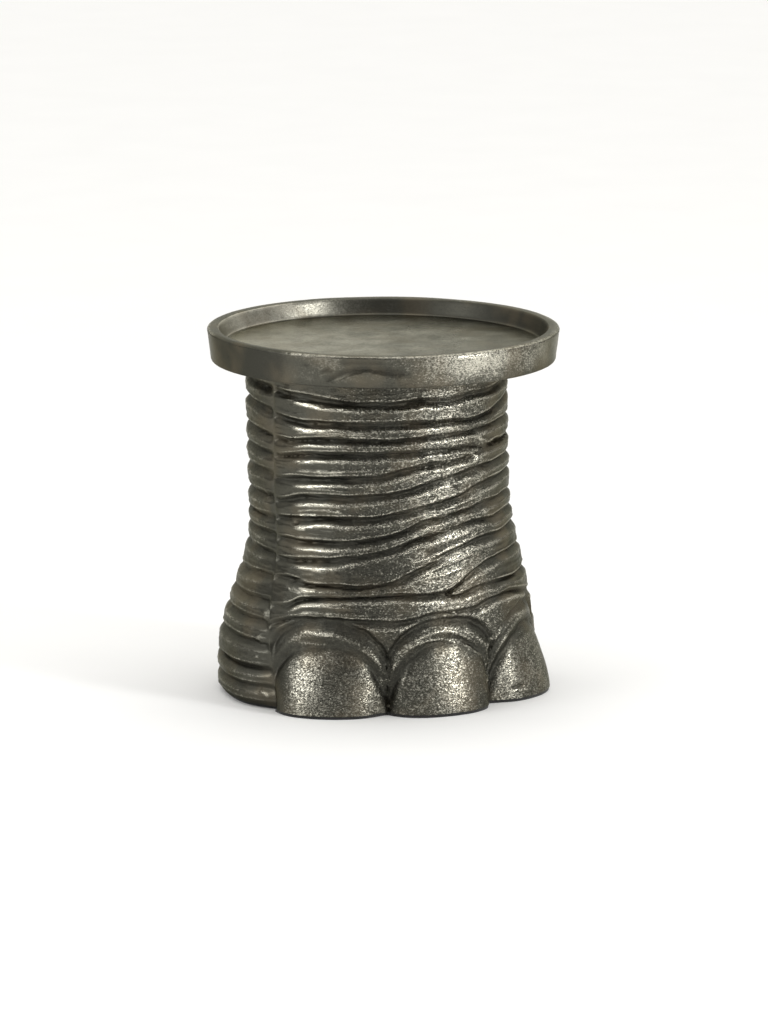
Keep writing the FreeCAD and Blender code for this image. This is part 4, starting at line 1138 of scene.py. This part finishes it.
def antique(name, bare_shift, turned_marks=False):
    """Blackened casting metal. bare_shift makes all of it a little barer."""
    finish = Finish(bpy.data.materials.new(name))
    where = finish.places()
    patina_and_painted_shade, wear_and_painted_light, grain_here = (finish.painted(layer) for layer in ("patina_and_painted_shade", "wear_and_painted_light", "grain"))
    grain = finish.noise(finish.places(GRAIN_STRETCH), 1.35, 2.0, 0.6)
    coarse = finish.noise(where, 0.45)
    blots = finish.noise(where, 0.09, 3.0, 0.55)
    pits = finish.step(finish.noise(where, 1.05, 1.0, 0.4), 0.60, 0.70)
    beside_crack = (finish.noise(finish.places(CRACK_STRETCH), 0.9) - 0.5).unsigned()
    cracks = 1 - finish.step(beside_crack, 0.0, 0.05)
    speck = (grain - 0.5) * grain_here * 2.0 + (coarse - 0.5) * 0.5 * grain_here
    # The bare share: wear and patina, with the painted highlights and painted shade of the two layers
    bare_and_painted_light = (0.38 + bare_shift + wear_and_painted_light * 0.62 - patina_and_painted_shade * 0.45 + speck + (blots - 0.5) * 0.4).clamped()
    bare_and_painted_light = (bare_and_painted_light - pits * grain_here * 0.3 - cracks * grain_here * 0.5).clamped()
    colour = finish.mix(finish.step(bare_and_painted_light, 0.0, 0.5), BLACKENED, DULL)
    colour = finish.mix(finish.step(bare_and_painted_light, 0.45, 1.0), colour, RUBBED)
    warm_share = finish.step(finish.noise(where, 0.06), 0.42, 0.7) * 0.35
    colour = finish.mix(warm_share, colour, WARM)
    height = (grain * grain_here - pits * grain_here * 0.6 - cracks * grain_here * 0.3
              + coarse * (grain_here * 0.5 + 0.12))
    normal = finish.bumped(height, GRAIN_HEIGHT)
    if turned_marks:
        rings = finish.node("TexWave", {"wave_type": "RINGS", "rings_direction": "Z"},
                            {"Vector": where, "Scale": 0.55, "Distortion": 1.5, "Detail": 2.0})
        normal = finish.bumped(rings, TURNED_HEIGHT, 0.5, normal)
    finish.set(base_color=colour, roughness=0.30 + grain_here * 0.04 + patina_and_painted_shade * 0.2 - wear_and_painted_light * 0.12,
               normal=normal, metallic=1.0, specular_tint=SPECULAR_TINT)
    return finish.owner


casting_finish = antique("antique_casting", 0.0)
tray_finish = antique("antique_turned", 0.08, turned_marks=True)
for piece, finish in ((foot_front, casting_finish), (foot_rear, casting_finish), (tray, tray_finish)):
    piece.data.materials.clear()
    piece.data.materials.append(finish)
print("casting metals:", casting_finish.name, tray_finish.name)

# %% [markdown]
# ## Weld, plated steel and felt
# These pieces keep the engineering model's shape. Inside the leg are raw weld beads with their ripples
# and zinc-plated fixings with a faint yellow haze. Under the foot is black felt, a mat of short fibres.

# %% Finish the carried-over pieces
def dress(node, material):
    """Gives a CAD node a new material in its own slot."""
    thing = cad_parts[node]
    if not thing.material_slots:
        thing.data.materials.append(material)
    for place in thing.material_slots:
        place.material = material


weld = Finish(bpy.data.materials.new("weld_metal"))
weld_where = weld.places()
ripple = weld.node("TexWave", {"wave_type": "BANDS", "bands_direction": "Z"},
                   {"Vector": weld_where, "Scale": 0.25, "Distortion": 3.0, "Detail": 2.0})
soot = weld.step(weld.noise(weld_where, 0.25, 3.0), 0.45, 0.7)
weld.set(base_color=weld.mix(soot, (0.55, 0.55, 0.52, 1), (0.16, 0.15, 0.13, 1)),
         roughness=0.35 + soot * 0.3, normal=weld.bumped(ripple, 0.25), metallic=1.0)

plated = Finish(bpy.data.materials.new("plated_steel"))
plated_where = plated.places()
haze = plated.noise(plated_where, 0.15, 3.0)
brushed = plated.noise(plated.places((1, 0.08, 1)), 2.5, 2.0)
plated.set(base_color=plated.mix(plated.step(haze, 0.35, 0.7), (0.6, 0.61, 0.62, 1), (0.55, 0.5, 0.36, 1)),
           roughness=0.28 + haze * 0.15, normal=plated.bumped(brushed, 0.02), metallic=1.0)

felt = Finish(bpy.data.materials.new("black_felt"))
felt_where = felt.places()
fibres = felt.noise(felt_where, 3.0, 4.0, 0.7)
clumps = felt.noise(felt_where, 0.5, 2.0)
tufts = (fibres * 0.7 + clumps * 0.5).clamped()
felt.set(base_color=felt.mix(tufts, (0.004, 0.004, 0.004, 1), (0.03, 0.03, 0.03, 1)),
         roughness=0.95, normal=felt.bumped(fibres, 0.15), sheen_weight=0.3)

for node, made in (("seam_weld_left", weld), ("seam_weld_right", weld), ("clamp_bar", plated),
                   ("flat_washer", plated), ("spring_washer", plated), ("clamp_bolt", plated),
                   ("base_pad", felt)):
    dress(node, made.owner)
print("dressed nodes: welds, clamp and pad")

# %% Paint the floor
paper = Finish(bpy.data.materials.new("floor_paper"))
fleck = paper.noise(paper.places(), 0.02, 2.0)
paper.set(base_color=paper.mix(fleck, (0.92, 0.92, 0.91, 1), (0.95, 0.95, 0.94, 1)), roughness=0.9)
floor.data.materials.append(paper.owner)
print("floor finish:", paper.owner.name)
